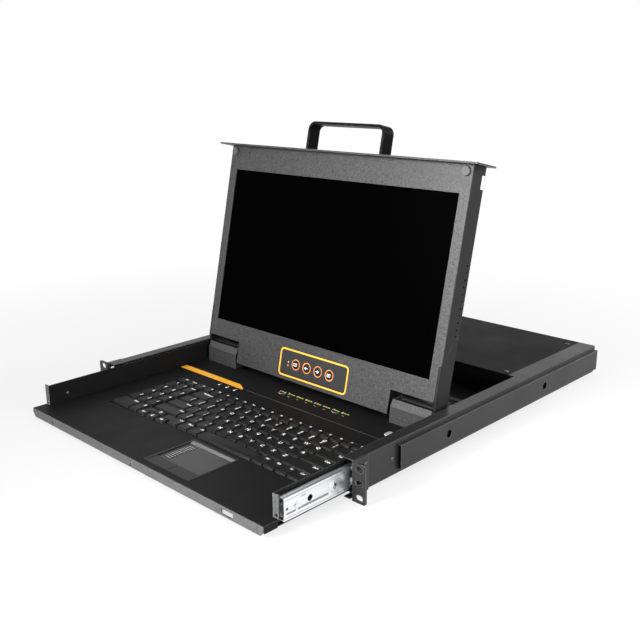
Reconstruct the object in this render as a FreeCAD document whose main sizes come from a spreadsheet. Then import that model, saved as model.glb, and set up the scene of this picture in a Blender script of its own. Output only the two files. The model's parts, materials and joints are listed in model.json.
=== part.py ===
import FreeCAD, Part
import math
import os
import re
import Sketcher

# A one-unit rack console: a drawer with a keyboard and a touchpad runs out of a shallow
# chassis on three-part ball slides, and a screen folds up from the back of the drawer.
#
# X runs to the user's right, Y to the back of the rack and Z up. The origin is the centre
# of the rack bolt pattern, on the front face of the ears. Heights in the sheet are counted
# from the underside of the chassis floor, which lies at floor_z.

Vec = FreeCAD.Vector
doc = FreeCAD.newDocument("ConsoleDrawer")
sheet = doc.addObject("Spreadsheet::Sheet", "Sizes")
names = []


def cell(name, value):
    """Write one named size into the sheet."""
    row = len(names) + 1
    sheet.set("A%d" % row, name)
    sheet.set("B%d" % row, str(value))
    sheet.setAlias("B%d" % row, name)
    names.append(name)


# ---- datum -------------------------------------------------------------------------
cell("floor_z", -17.2)

# ---- chassis -----------------------------------------------------------------------
cell("chassis_width", 446.2)
cell("chassis_height", 39.4)
cell("chassis_sheet", 1.2)
cell("chassis_front", 2.0)
cell("chassis_rear", 517.3)
cell("floor_setback", 4.0)
cell("rim_front", 15.4)
cell("rim_rear", 23.7)
cell("rim_step", 328.0)
cell("cover_gap", 1.0)
cell("bulkhead_y", 345.0)
cell("bulkhead_foot", 12.0)
cell("chassis_bend", 1.0)
cell("side_screw_y", 64.6)
cell("foot_wide", 8.0)
cell("foot_reach", 8.0)
cell("foot_drop", 2.6)

# ---- rack ears ---------------------------------------------------------------------
cell("ear_height", 43.7)
cell("ear_width", 18.2)
cell("ear_sheet", 2.0)
cell("ear_return", 23.0)
cell("ear_corner", 3.0)
cell("slot_inset", 9.45)
cell("slot_pitch", 15.875)
cell("slot_long", 10.0)
cell("slot_tall", 6.8)
cell("relief_y", 7.9)
cell("relief_deep", 6.4)
cell("relief_tall", 6.2)
cell("relief_drop", 3.9)

# ---- outer stiffening rails --------------------------------------------------------
cell("rail_front", 73.6)
cell("rail_depth", 4.5)
cell("rail_bottom", 5.0)
cell("rail_top", 33.6)
cell("rail_sheet", 1.2)
cell("rail_hole", 10.0)
cell("rail_hole_front", 160.4)
cell("rail_hole_rear", 372.5)

# ---- ball slides -------------------------------------------------------------------
cell("slide_thickness", 12.7)
cell("slide_sheet", 1.0)
cell("runner_gap", 0.3)
cell("web_recess", 0.4)
cell("web_recess_up", 7.6)
cell("web_recess_start", 24.0)
cell("middle_height", 24.0)
cell("ball_size", 3.6)
cell("race_depth", 0.3)
cell("race_play", 0.05)
cell("web_gap", 1.4)
cell("cage_sheet", 0.6)
cell("cage_play", 0.15)
cell("outer_front", 24.0)
cell("outer_rear", 500.0)
cell("middle_front", -92.0)
cell("middle_rear", 288.0)
cell("inner_front", -92.0)
cell("inner_rear", 218.0)
cell("outer_cage_front", 100.0)
cell("outer_cage_rear", 212.0)
cell("inner_cage_front", -5.0)
cell("inner_cage_rear", 130.0)

# ---- drawer ------------------------------------------------------------------------
cell("tray_sheet", 1.2)
cell("tray_bottom", 1.6)
cell("tray_top", 35.75)
cell("tray_front", -95.8)
cell("tray_rear", 222.0)
cell("tray_flange", 7.3)
cell("tray_runner", 4.8)
cell("tray_strip", 7.0)
cell("flange_hole", 3.4)
cell("deck_top", 10.0)
cell("deck_sheet", 1.2)
cell("deck_gap", 0.3)
cell("deck_rear", 212.0)
cell("apron_reach", 6.0)
cell("apron_front", -115.2)
cell("apron_gap", 0.2)
cell("lip_bottom", -1.0)
cell("lip_corner", 5.0)
cell("lip_slot_x", 163.5)
cell("lip_slot_wide", 17.0)
cell("lip_slot_tall", 5.5)
cell("lip_slot_z", 4.0)
cell("lip_hole", 3.2)
cell("lip_hole_x", 168.0)
cell("lip_hole_z", 3.0)
cell("lip_seam", 0.5)
cell("lip_seam_in", 9.0)

# ---- keyboard ----------------------------------------------------------------------
cell("keys_right", 173.6)
cell("main_left", -105.6)
cell("key_pitch", 18.5)
cell("row_pitch", 19.2)
cell("number_y", 56.25)
cell("function_y", 75.25)
cell("function_pitch", 16.6)
cell("function_deep", 14.5)
cell("key_gap", 0.9)
cell("key_top", 12.0)
cell("key_tall", 5.0)
cell("key_taper", 1.3)
cell("key_round", 1.8)
cell("number_lead", 23.6)
cell("upper_lead", 33.8)
cell("home_lead", 38.0)
cell("lower_lead", 47.4)
cell("space_left", 5.0)
cell("space_pitch", 19.4)
cell("pad_right", -108.9)
cell("pad_pitch", 18.1)
cell("pad_front", -35.2)
cell("arrow_x", -62.5)
cell("arrow_split", -22.2)
cell("arrow_front", -36.0)
cell("base_sheet", 1.6)
cell("base_wall", 1.2)
cell("opening_gap", 0.4)

# ---- touchpad ----------------------------------------------------------------------
cell("touch_left", 11.3)
cell("touch_right", 91.0)
cell("touch_front", -106.3)
cell("touch_rear", -36.0)
cell("touch_rim", 1.2)
cell("touch_rise", 0.4)
cell("touch_deep", 5.0)
cell("touch_button", 14.0)
cell("touch_band", 7.0)
cell("touch_gap", 0.4)
cell("touch_split", 51.8)
cell("touch_slope", 5.0)
cell("touch_pad_low", 1.2)

# ---- hinge -------------------------------------------------------------------------
cell("pivot_y", 173.7)
cell("pivot_z", 28.0)
cell("screen_lean", 12.24)
cell("barrel_size", 11.0)
cell("barrel_in", 150.0)
cell("barrel_out", 195.0)
cell("pin_size", 6.0)
cell("pin_play", 0.2)
cell("hinge_foot", 1.5)
cell("cover_in", 142.0)
cell("cover_side_gap", 0.5)
cell("cover_front", 157.0)
cell("cover_lean", 1.5)
cell("cover_bevel", 30.2)
cell("cover_bevel_in", 6.5)
cell("cover_top", 38.0)
cell("cover_top_in", 7.8)
cell("cover_end_deep", 24.0)
cell("cover_sheet", 1.2)

# ---- screen, in its own frame: up from the hinge axis and forward of it ------------
cell("screen_gap", 3.4)
cell("screen_face", 15.0)
cell("screen_back", -11.0)
cell("screen_low", 18.6)
cell("screen_high", 291.6)
cell("neck_half", 138.0)
cell("neck_low", -11.7)
cell("bezel_sheet", 1.6)
cell("shell_wall", 2.0)
cell("side_step", 3.1)
cell("step_front", 62.0)
cell("step_back", 99.0)
cell("arm_sheet", 3.0)
cell("arm_round", 11.0)
cell("tube_size", 6.2)
cell("tube_up", 8.8)
cell("tube_fore", 2.0)
cell("view_border", 13.3)
cell("view_low", 43.0)
cell("view_high", 258.9)
cell("panel_lap", 4.0)
cell("panel_back", 5.0)
cell("panel_gap", 0.2)
cell("vent_size", 2.8)
cell("vent_pitch", 8.3)
cell("vent_low", 96.0)
cell("vent_fore", -5.0)
cell("front_half", 218.0)
cell("front_sheet", 2.0)
cell("front_low", 29.5)
cell("front_corner", 2.0)
cell("handle_half", 65.0)
cell("handle_out", 38.0)
cell("handle_bar", 3.5)
cell("handle_fore", 10.3)
cell("handle_aft", -9.7)
cell("handle_round", 11.0)
cell("handle_edge", 0.6)
cell("bumper_size", 10.6)
cell("bumper_tall", 2.7)
cell("bumper_x", 196.5)
cell("bumper_up", 284.0)
cell("latch_size", 4.0)
cell("latch_up", 281.4)
cell("latch_reach", 8.4)
cell("latch_play", 0.2)
cell("keep_low", 266.8)
cell("keep_high", 281.6)
cell("keep_fore", -6.0)
cell("keep_aft", -9.0)
cell("keep_deep", 1.2)
cell("spare_hole_x", 168.0)
cell("spare_hole_up", 283.6)
cell("spare_hole", 3.2)
cell("back_slot_long", 22.0)
cell("back_slot_tall", 2.2)
cell("back_slot_pitch", 6.5)
cell("trim_left", -53.0)
cell("trim_right", 69.7)
cell("trim_low", -7.0)
cell("trim_high", 30.5)
cell("trim_wide", 2.0)
cell("trim_rise", 0.3)
cell("trim_round", 6.0)
cell("button_up", 11.7)
cell("button_first", -22.5)
cell("button_pitch", 20.3)
cell("button_size", 10.4)
cell("button_rise", 1.4)
cell("button_play", 0.3)
cell("lamp_x", -36.6)
cell("lamp_up", 8.0)
cell("lamp_pitch", 4.6)
cell("lamp_size", 2.0)

# ---- rear bay ----------------------------------------------------------------------
cell("board_front", 395.0)
cell("board_half", 100.0)
cell("board_rise", 6.8)
cell("board_sheet", 1.6)
cell("board_back_gap", 14.0)
cell("port_first", -185.0)
cell("port_pitch", 34.0)
cell("port_wide", 30.8)
cell("port_tall", 12.5)
cell("port_z", 19.0)
cell("port_proud", 5.0)
cell("inlet_x", 150.0)
cell("inlet_wide", 27.0)
cell("inlet_tall", 19.6)
cell("inlet_wall", 2.2)
cell("inlet_deep", 24.0)
cell("rocker_x", 182.0)
cell("rocker_wide", 13.0)
cell("rocker_tall", 19.0)
cell("rocker_wall", 1.5)
cell("rocker_tilt", 8.0)
cell("rocker_gap", 0.3)
cell("rocker_pin", 2.6)
cell("rocker_pin_play", 0.1)
cell("supply_left", 120.0)
cell("supply_right", 198.0)
cell("supply_front", 372.0)
cell("supply_rear", 480.0)
cell("supply_tall", 32.0)

# ---- small marks on the deck -------------------------------------------------------
cell("port_lamp_first", -23.0)
cell("port_lamp_pitch", 15.9)
cell("port_lamp_y", 140.0)
cell("lock_lamp_first", -108.0)
cell("lock_lamp_pitch", 15.7)
cell("lock_lamp_y", 99.0)
cell("deck_lamp_wide", 2.6)
cell("deck_lamp_long", 1.4)
cell("deck_lamp_rise", 0.3)
cell("catch_x", 165.0)
cell("catch_y", 129.0)
cell("catch_wide", 8.0)
cell("catch_long", 12.0)
cell("catch_rise", 1.0)
cell("screw_head", 6.0)
cell("screw_rise", 1.4)
doc.recompute()


# Heights that follow from other sizes, by the word the expressions use for them.
FITTED = {}


def bound(expression):
    """The expression with each size's name pointing at its cell."""
    for word in FITTED:
        expression = expression.replace(word, FITTED[word])
    def target(word):
        return "Sizes." + word.group(0) if word.group(0) in names else word.group(0)
    return re.sub(r"[a-z][a-z0-9_]*", target, expression)


def drive(obj, prop, expression):
    obj.setExpression(prop, bound(expression))


def place(obj, x, y, z, turn=None):
    """Put an object's own origin at a named point, turned by a fixed rotation."""
    if turn is not None:
        obj.Placement = FreeCAD.Placement(Vec(0, 0, 0), turn)
    drive(obj, "Placement.Base.x", x)
    drive(obj, "Placement.Base.y", y)
    drive(obj, "Placement.Base.z", z)
    return obj


# Heights of the chassis and the drawer start at the underside of the chassis floor. The
# screen's pieces are drawn about the hinge axis instead, and posed on it at the end.
FLOOR = "floor_z"
AXIS = "0"


def block(label, x, y, z, datum=FLOOR):
    """Box between two named planes along each axis."""
    box = doc.addObject("Part::Box", label)
    drive(box, "Length", "(%s) - (%s)" % (x[1], x[0]))
    drive(box, "Width", "(%s) - (%s)" % (y[1], y[0]))
    drive(box, "Height", "(%s) - (%s)" % (z[1], z[0]))
    return place(box, x[0], y[0], "%s + (%s)" % (datum, z[0]))


ALONG = {
    "x": FreeCAD.Rotation(Vec(0, 1, 0), 90),
    "y": FreeCAD.Rotation(Vec(1, 0, 0), -90),
    "z": FreeCAD.Rotation(),
}


def rod(label, axis, size, span, x="0", y="0", z="0", datum=FLOOR):
    """Round bar of diameter size along one axis, from span[0] to span[1]."""
    bar = doc.addObject("Part::Cylinder", label)
    drive(bar, "Radius", "(%s) / 2" % size)
    drive(bar, "Height", "(%s) - (%s)" % (span[1], span[0]))
    at = {"x": x, "y": y, "z": z}
    at[axis] = span[0]
    return place(bar, at["x"], at["y"], "%s + (%s)" % (datum, at["z"]), ALONG[axis])


def fuse(label, *pieces):
    joined = doc.addObject("Part::MultiFuse", label)
    joined.Shapes = list(pieces)
    joined.Refine = True
    return joined


def cut(label, base, *tools):
    rest = doc.addObject("Part::Cut", label)
    rest.Base = base
    rest.Tool = tools[0] if len(tools) == 1 else fuse(label + "_tools", *tools)
    rest.Refine = True
    return rest


def gather(label, pieces):
    """Several loose solids that are one kind of piece."""
    group = doc.addObject("Part::Compound", label)
    group.Links = list(pieces)
    return group


def mirrored(label, source):
    """The left-hand twin of a right-hand piece."""
    twin = doc.addObject("Part::Mirroring", label)
    twin.Source = source
    twin.Base = (0, 0, 0)
    twin.Normal = (1, 0, 0)
    return twin


def outline(body, label, role, corners, offset, datum):
    """Closed outline on one of the body's own planes, each corner tied to the sheet."""
    sketch = body.newObject("Sketcher::SketchObject", label)
    plane = [item for item in body.Origin.OriginFeatures if item.Role == role][0]
    sketch.AttachmentSupport = (plane, [""])
    sketch.MapMode = "FlatFace"
    drive(sketch, "AttachmentOffset.Base.z", offset)
    count = len(corners)
    start = []
    for step in range(count):
        turn = 2 * math.pi * step / count
        start.append(Vec(20 * math.cos(turn), 20 * math.sin(turn), 0))
    for step in range(count):
        sketch.addGeometry(Part.LineSegment(start[step], start[(step + 1) % count]))
    for step in range(count):
        sketch.addConstraint(Sketcher.Constraint("Coincident", step, 2, (step + 1) % count, 1))
    for step, (across, up) in enumerate(corners):
        rise = up if role == "XY_Plane" else "%s + (%s)" % (datum, up)
        for kind, wanted, now in (("X", across, start[step].x), ("Y", rise, start[step].y)):
            which = sketch.addConstraint(
                Sketcher.Constraint("Distance" + kind, -1, 1, step, 1, now))
            name = "corner_%s%d" % (kind.lower(), step)
            sketch.renameConstraint(which, name)
            drive(sketch, "Constraints." + name, wanted)
    return sketch


def profile(label, role, corners, span, datum=FLOOR):
    """Body with one outline, padded between two named planes along the third axis."""
    body = doc.addObject("PartDesign::Body", label)
    if role == "XZ_Plane":
        offset = "-(%s)" % span[0]
    elif role == "YZ_Plane":
        offset = span[0]
    else:
        offset = "%s + (%s)" % (datum, span[0])
    sketch = outline(body, label + "_outline", role, corners, offset, datum)
    pad = body.newObject("PartDesign::Pad", label + "_pad")
    pad.Profile = sketch
    drive(pad, "Length", "(%s) - (%s)" % (span[1], span[0]))
    pad.Reversed = role == "XZ_Plane"
    doc.recompute()
    return body


def soften(body, label, kind, amount, wanted):
    """Fillet or chamfer on the edges that the test picks."""
    tip = body.Tip
    edges = []
    for number, edge in enumerate(tip.Shape.Edges, 1):
        if wanted(edge):
            edges.append("Edge%d" % number)
    feature = body.newObject("PartDesign::" + kind, label)
    feature.Base = (tip, edges)
    drive(feature, "Radius" if kind == "Fillet" else "Size", amount)
    doc.recompute()
    return body


def runs_along(edge, axis):
    """True for a straight edge parallel to one axis."""
    if edge.Curve.TypeId != "Part::GeomLine":
        return False
    return abs(abs(edge.Curve.Direction.dot(axis)) - 1) < 1e-6


def size(name):
    """A size's present number, for counts and for choosing edges."""
    return float(sheet.get(name))


half = "(chassis_width/2)"
inner = "(chassis_width/2 - chassis_sheet)"
top = "chassis_height"
under_top = "(chassis_height - chassis_sheet)"

# Balls set the slides' heights, and the drawer's runner sets where their centre line lies.
ball_up_outer = "(middle_height/2 - race_depth + race_play + ball_size/2)"
outer_inside = "(" + ball_up_outer + " + ball_size/2 + race_play - race_depth)"
FITTED["slide_centre"] = "(tray_bottom + tray_sheet + runner_gap + " + outer_inside + " + slide_sheet)"

nodes = []

# ---- chassis: one bent sheet with inward rims, a rear wall and a rear cover ---------
skirt = profile("shell_bend", "XZ_Plane", [
    ("-" + half, "0"), (half, "0"), (half, top),
    (half + " - rim_front", top), (half + " - rim_front", under_top),
    (inner, under_top), (inner, "chassis_sheet"),
    ("-" + inner, "chassis_sheet"), ("-" + inner, under_top),
    ("-" + half + " + rim_front", under_top), ("-" + half + " + rim_front", top),
    ("-" + half, top)], ("chassis_front", "chassis_rear"))
soften(skirt, "shell_bend_rounding", "Fillet", "chassis_bend",
       lambda edge: runs_along(edge, Vec(0, 1, 0))
       and abs(abs(edge.CenterOfMass.x) - size("chassis_width") / 2) < 0.01)
# The cover rests are strips welded edge to edge to the rims, beside the rear cover.
rim = block("shell_rim", (half + " - rim_rear", half + " - rim_front"),
            ("rim_step", "chassis_rear"), (under_top, top))
back = block("shell_back", ("-" + inner, inner), ("chassis_rear - chassis_sheet", "chassis_rear"),
             ("chassis_sheet", under_top))
setback = block("shell_setback", ("-" + inner, inner),
                ("chassis_front", "chassis_front + floor_setback"), ("0", "chassis_sheet"))
relief_y = ("relief_y - relief_deep/2", "relief_y + relief_deep/2")
reliefs = []
for step in (0, 1):
    rise = "(%d*slot_pitch - floor_z - relief_drop)" % step
    relief = block("shell_bolt_relief_%d" % (step + 1), (inner + " - 1", half + " + 1"), relief_y,
                   (rise + " - relief_tall/2", rise + " + relief_tall/2"))
    reliefs += [relief, mirrored("shell_bolt_relief_%d_left" % (step + 1), relief)]
foot = profile("shell_foot", "YZ_Plane", [
    ("chassis_front + floor_setback - foot_reach", "-foot_drop"), ("chassis_front + floor_setback + 2", "-foot_drop"),
    ("chassis_front + floor_setback + 2", "chassis_sheet/2"), ("chassis_front + floor_setback + 0.4", "chassis_sheet/2"),
    ("chassis_front + floor_setback + 0.4", "chassis_sheet - foot_drop"),
    ("chassis_front + floor_setback - foot_reach", "chassis_sheet - foot_drop")],
    (inner + " - foot_wide", inner))
wall_span = ("chassis_rear - chassis_sheet - 1", "chassis_rear + 1")
inlet_hole = block("shell_inlet_hole", ("inlet_x - inlet_wide/2", "inlet_x + inlet_wide/2"),
                   wall_span, ("port_z - inlet_tall/2", "port_z + inlet_tall/2"))
rocker_hole = block("shell_rocker_hole", ("rocker_x - rocker_wide/2", "rocker_x + rocker_wide/2"),
                    wall_span, ("port_z - rocker_tall/2", "port_z + rocker_tall/2"))
port_holes = []
for place_no in range(9):
    middle = "(port_first + %d*port_pitch)" % place_no
    port_holes.append(block("shell_port_hole_%d" % (place_no + 1),
                            (middle + " - port_wide/2 + 6.3", middle + " + port_wide/2 - 6.3"),
                            wall_span, ("port_z - port_tall/2 + 1.4", "port_z + port_tall/2 - 1.4")))
shell = fuse("shell_sheet", skirt, back)
floored = cut("shell_floored", shell, setback)
footed = fuse("shell_footed", floored, foot, mirrored("shell_foot_left", foot))
shell_cut = cut("shell_cut", footed, inlet_hole, rocker_hole, *(reliefs + port_holes))
nodes.append(gather("chassis_shell", [shell_cut, rim, mirrored("shell_rim_left", rim)]))

cover_edge = half + " - rim_rear - cover_gap"
nodes.append(block("rear_cover", ("-(" + cover_edge + ")", cover_edge), ("rim_step", "chassis_rear"),
                   (under_top, top)))

slide_room = "(" + inner + " - slide_thickness)"
bulk_bend = profile("bulkhead_bend", "YZ_Plane", [
    ("bulkhead_y", "chassis_sheet"), ("bulkhead_y + bulkhead_foot", "chassis_sheet"),
    ("bulkhead_y + bulkhead_foot", "2*chassis_sheet"), ("bulkhead_y + chassis_sheet", "2*chassis_sheet"),
    ("bulkhead_y + chassis_sheet", under_top + " - chassis_sheet"),
    ("bulkhead_y + bulkhead_foot", under_top + " - chassis_sheet"),
    ("bulkhead_y + bulkhead_foot", under_top), ("bulkhead_y", under_top)],
    ("-" + slide_room + " + 1", slide_room + " - 1"))
cable_gap = block("bulkhead_cable_gap", ("-40", "40"), ("bulkhead_y - 1", "bulkhead_y + 3"), ("9", "29"))
nodes.append(cut("bay_bulkhead", bulk_bend, cable_gap))

# ---- rack ears: an angle on each side, with three slots at the rack's pitch ----------
ear = profile("ear_angle", "XY_Plane", [
    (half, "0"), (half + " + ear_width", "0"), (half + " + ear_width", "ear_sheet"),
    (half + " + ear_sheet", "ear_sheet"), (half + " + ear_sheet", "ear_return"),
    (half, "ear_return")], ("-ear_height/2", "ear_height/2"), AXIS)
reach = size("chassis_width") / 2 + size("ear_width")
soften(ear, "ear_rounding", "Fillet", "ear_corner", lambda edge: runs_along(edge, Vec(0, 1, 0))
       and abs(edge.CenterOfMass.x - reach) < 0.01)
ear_tools = [block("ear_clip", (half + " - 1", half + " + ear_sheet + 1"),
                   ("ear_sheet", "ear_return + 1"), ("-ear_height", "0"))]
for step in (0, 1):
    rise = "(%d*slot_pitch - relief_drop)" % step
    ear_tools.append(block("ear_bolt_relief_%d" % (step + 1), (half + " - 1", half + " + ear_sheet + 1"),
                           relief_y, (rise + " - relief_tall/2", rise + " + relief_tall/2"), AXIS))
for step in (-1, 0, 1):
    rise = "%d*slot_pitch" % step
    middle = half + " + slot_inset"
    ends = "(slot_long - slot_tall)/2"
    ear_tools.append(block("ear_slot_%d" % (step + 2), (middle + " - " + ends, middle + " + " + ends),
                           ("-1", "ear_sheet + 1"), (rise + " - slot_tall/2", rise + " + slot_tall/2"),
                           AXIS))
    for side in ("-", "+"):
        ear_tools.append(rod("ear_slot_%d_end%s" % (step + 2, "in" if side == "-" else "out"), "y",
                             "slot_tall", ("-1", "ear_sheet + 1"), x="%s %s %s" % (middle, side, ends),
                             z=rise, datum=AXIS))
ear_right = cut("ear_right", ear, *ear_tools)
nodes.append(ear_right)
nodes.append(mirrored("ear_left", ear_right))

# ---- outer rails: shallow channels screwed along the chassis sides -------------------
rail_bend = profile("rail_bend", "XZ_Plane", [
    (half, "rail_bottom"), (half + " + rail_depth", "rail_bottom"), (half + " + rail_depth", "rail_top"),
    (half, "rail_top"), (half, "rail_top - rail_sheet"),
    (half + " + rail_depth - rail_sheet", "rail_top - rail_sheet"),
    (half + " + rail_depth - rail_sheet", "rail_bottom + rail_sheet"),
    (half, "rail_bottom + rail_sheet")], ("rail_front", "chassis_rear"))
rail_out = size("chassis_width") / 2 + size("rail_depth")
soften(rail_bend, "rail_rounding", "Fillet", "chassis_bend", lambda edge: runs_along(edge, Vec(0, 1, 0))
       and abs(edge.CenterOfMass.x - rail_out) < 0.01)
rail_mid = "(rail_bottom + rail_top)/2"
rail_holes = []
for name in ("rail_hole_front", "rail_hole_rear"):
    rail_holes.append(rod(name + "_cut", "x", "rail_hole", (half + " + 1", half + " + rail_depth + 1"),
                          y=name, z=rail_mid))
rail_right = cut("side_rail_right", rail_bend, *rail_holes)
nodes.append(rail_right)
nodes.append(mirrored("side_rail_left", rail_right))

# ---- ball slides: three nested channels, with balls in caged rows between them -------
# Each ball runs in a groove above and a groove below, so the channel heights follow from
# the ball. Distances across the slide are counted up and down from its own centre line.
ball_up_inner = "(middle_height/2 - slide_sheet + race_depth - race_play - ball_size/2)"
inner_half = "(" + ball_up_inner + " - ball_size/2 - race_play + race_depth)"
race_x = "(" + inner + " - slide_thickness/2)"
wall_x = "(" + inner + " - slide_thickness)"
outer_web = "(" + inner + " - slide_sheet)"
middle_web_out = "(" + outer_web + " - web_gap)"
middle_web_in = "(" + middle_web_out + " - slide_sheet)"
inner_tip = "(" + middle_web_in + " - web_gap)"
race = "(ball_size + 2*race_play)"


def channel(label, web, tip, web_sheet, half_height, sheet_thick, span, lip, lip_in):
    """Slide member with its web at one side and a flange above and below."""
    corners = []
    up = "slide_centre + %s" % half_height
    down = "slide_centre - %s" % half_height
    corners.append((web, down))
    corners.append((web, up))
    corners.append((tip, up))
    if lip == "inward":
        corners.append((tip, up + " - %s - %s" % (sheet_thick, lip_in)))
        corners.append((tip + " + %s" % sheet_thick, up + " - %s - %s" % (sheet_thick, lip_in)))
        corners.append((tip + " + %s" % sheet_thick, up + " - %s" % sheet_thick))
    else:
        corners.append((tip, up + " - %s" % sheet_thick))
    corners.append((web_sheet, up + " - %s" % sheet_thick))
    corners.append((web_sheet, down + " + %s" % sheet_thick))
    if lip == "inward":
        corners.append((tip + " + %s" % sheet_thick, down + " + %s" % sheet_thick))
        corners.append((tip + " + %s" % sheet_thick, down + " + %s + %s" % (sheet_thick, lip_in)))
        corners.append((tip, down + " + %s + %s" % (sheet_thick, lip_in)))
    else:
        corners.append((tip, down + " + %s" % sheet_thick))
    corners.append((tip, down))
    return profile(label, "XZ_Plane", corners, span)


def races(label, up, span):
    """Grooves that the balls run in, above and below the centre line."""
    tools = []
    for side in ("-", "+"):
        tools.append(rod("%s_%s" % (label, "low" if side == "-" else "high"), "y", race, span,
                         x=race_x, z="slide_centre %s %s" % (side, up)))
    return tools


outer_bend = channel("outer_bend", inner, race_x + " - ball_size/2 - 1.0 - slide_sheet", outer_web,
                     "(" + outer_inside + " + slide_sheet)", "slide_sheet",
                     ("outer_front", "outer_rear"), "inward", "slide_sheet")
slide_outer = cut("slide_outer_right", outer_bend,
                  *races("outer_race", ball_up_outer, ("outer_front - 1", "outer_rear + 1")))
nodes.append(slide_outer)
nodes.append(mirrored("slide_outer_left", slide_outer))

middle_tip = race_x + " - ball_size/2 - 2.2*slide_sheet"
middle_bend = channel("middle_bend", middle_web_out, middle_tip, middle_web_in,
                      "(middle_height/2)", "slide_sheet", ("middle_front", "middle_rear"), "", "")
middle_tools = races("middle_outer_race", ball_up_outer, ("middle_front - 1", "middle_rear + 1"))
middle_tools += races("middle_inner_race", ball_up_inner, ("middle_front - 1", "middle_rear + 1"))
middle_tools.append(block("middle_web_recess", (middle_web_out + " - web_recess", middle_web_out + " + 1"),
                          ("middle_front + web_recess_start", "middle_rear + 1"),
                          ("slide_centre - web_recess_up", "slide_centre + web_recess_up")))
web_span = (middle_web_in + " - 1", middle_web_out + " + 1")
for number, (back_by, across) in enumerate((("35.5", "7"), ("4.2", "3.2"), ("15", "3.2")), 1):
    middle_tools.append(rod("middle_hole_%d" % number, "x", across, web_span,
                            y="middle_front + " + back_by, z="slide_centre"))
slide_middle = cut("slide_middle_right", middle_bend, *middle_tools)
nodes.append(slide_middle)
nodes.append(mirrored("slide_middle_left", slide_middle))

inner_bend = channel("inner_bend", wall_x, inner_tip, wall_x + " + slide_sheet", inner_half,
                     "slide_sheet", ("inner_front", "inner_rear"), "", "")
slide_inner = cut("slide_inner_right", inner_bend,
                  *races("inner_race", ball_up_inner, ("inner_front - 1", "inner_rear + 1")))
nodes.append(slide_inner)
nodes.append(mirrored("slide_inner_left", slide_inner))


def cage(label, web, tip, up, span, count):
    """U-shaped ball cage on both sides of the drawer, and its balls."""
    arm = "(%s + 0.4)" % up
    strip = "(%s - 0.4)" % up
    bend = profile(label + "_bend", "XZ_Plane", [
        (web, "slide_centre - " + arm), (web, "slide_centre + " + arm),
        (tip, "slide_centre + " + arm), (tip, "slide_centre + " + strip),
        (web + " - cage_sheet", "slide_centre + " + strip),
        (web + " - cage_sheet", "slide_centre - " + strip),
        (tip, "slide_centre - " + strip), (tip, "slide_centre - " + arm)], span)
    tools = []
    balls = []
    step = "((%s) - (%s))/%d" % (span[1], span[0], count)
    for number in range(count):
        along = "%s + %s*%s" % (span[0], number + 0.5, step)
        tools.append(block("%s_pocket_%d" % (label, number + 1),
                           (race_x + " - ball_size/2 - cage_play", race_x + " + ball_size/2 + cage_play"),
                           (along + " - ball_size/2 - cage_play", along + " + ball_size/2 + cage_play"),
                           ("slide_centre - %s - 2" % up, "slide_centre + %s + 2" % up)))
        for side in ("-", "+"):
            ball = doc.addObject("Part::Sphere",
                                 "%s_ball_%d%s" % (label, number + 1, "low" if side == "-" else "high"))
            drive(ball, "Radius", "ball_size/2")
            balls.append(place(ball, race_x, along, "floor_z + slide_centre %s %s" % (side, up)))
    right = cut(label + "_right", bend, *tools)
    row = gather(label + "_balls_right", balls)
    return (gather("cage_" + label, [right, mirrored(label + "_left", right)]),
            gather("balls_" + label, [row, mirrored(label + "_balls_left", row)]))


nodes += cage("outer", outer_web + " - web_gap/2 + cage_sheet/2",
              race_x + " - ball_size/2 - cage_play - 0.6", ball_up_outer, ("outer_cage_front", "outer_cage_rear"), 2)
nodes += cage("inner", middle_web_in + " - web_gap/2 + cage_sheet/2",
              race_x + " - ball_size/2 - cage_play - 0.6", ball_up_inner, ("inner_cage_front", "inner_cage_rear"), 2)

# ---- drawer: a pan with side walls, and a deck that stands in it ----------------------
tray_in = "(" + wall_x + " - tray_sheet)"
tray_floor = "(tray_bottom + tray_sheet)"
tray_bend = profile("tray_bend", "XZ_Plane", [
    ("-" + wall_x + " - tray_runner", "tray_bottom"), (wall_x + " + tray_runner", "tray_bottom"),
    (wall_x + " + tray_runner", tray_floor), (wall_x, tray_floor), (wall_x, "tray_top"),
    (tray_in, "tray_top"), (tray_in, tray_floor), ("-" + tray_in, tray_floor),
    ("-" + tray_in, "tray_top"), ("-" + wall_x, "tray_top"), ("-" + wall_x, tray_floor),
    ("-" + wall_x + " - tray_runner", tray_floor)], ("tray_front", "tray_rear"))
flange = block("tray_front_flange", (wall_x, wall_x + " + tray_flange"),
               ("tray_front", "tray_front + tray_sheet"), ("deck_top", "tray_top"))
tray_back = profile("tray_back", "YZ_Plane", [
    ("tray_rear - tray_sheet", tray_floor), ("tray_rear", tray_floor), ("tray_rear", "tray_top"),
    ("tray_rear - tray_strip", "tray_top"), ("tray_rear - tray_strip", "tray_top - tray_sheet"),
    ("tray_rear - tray_sheet", "tray_top - tray_sheet")], ("-" + tray_in, tray_in))
tray_cable = block("tray_cable_gap", ("-40", "40"), ("tray_rear - tray_sheet - 1", "tray_rear + 1"),
                   ("9", "29"))
flange_hole = rod("tray_flange_hole", "y", "flange_hole", ("tray_front - 1", "tray_front + tray_sheet + 1"),
                  x=wall_x + " + tray_flange/2", z="deck_top + flange_hole")
nodes.append(cut("drawer_tray", fuse("tray_sheet_metal", tray_bend, flange,
                                     mirrored("tray_front_flange_left", flange), tray_back),
                 tray_cable, flange_hole, mirrored("tray_flange_hole_left", flange_hole)))

screen_half = "(" + tray_in + " - screen_gap)"
narrow_half = "(" + screen_half + " - side_step)"

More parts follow.
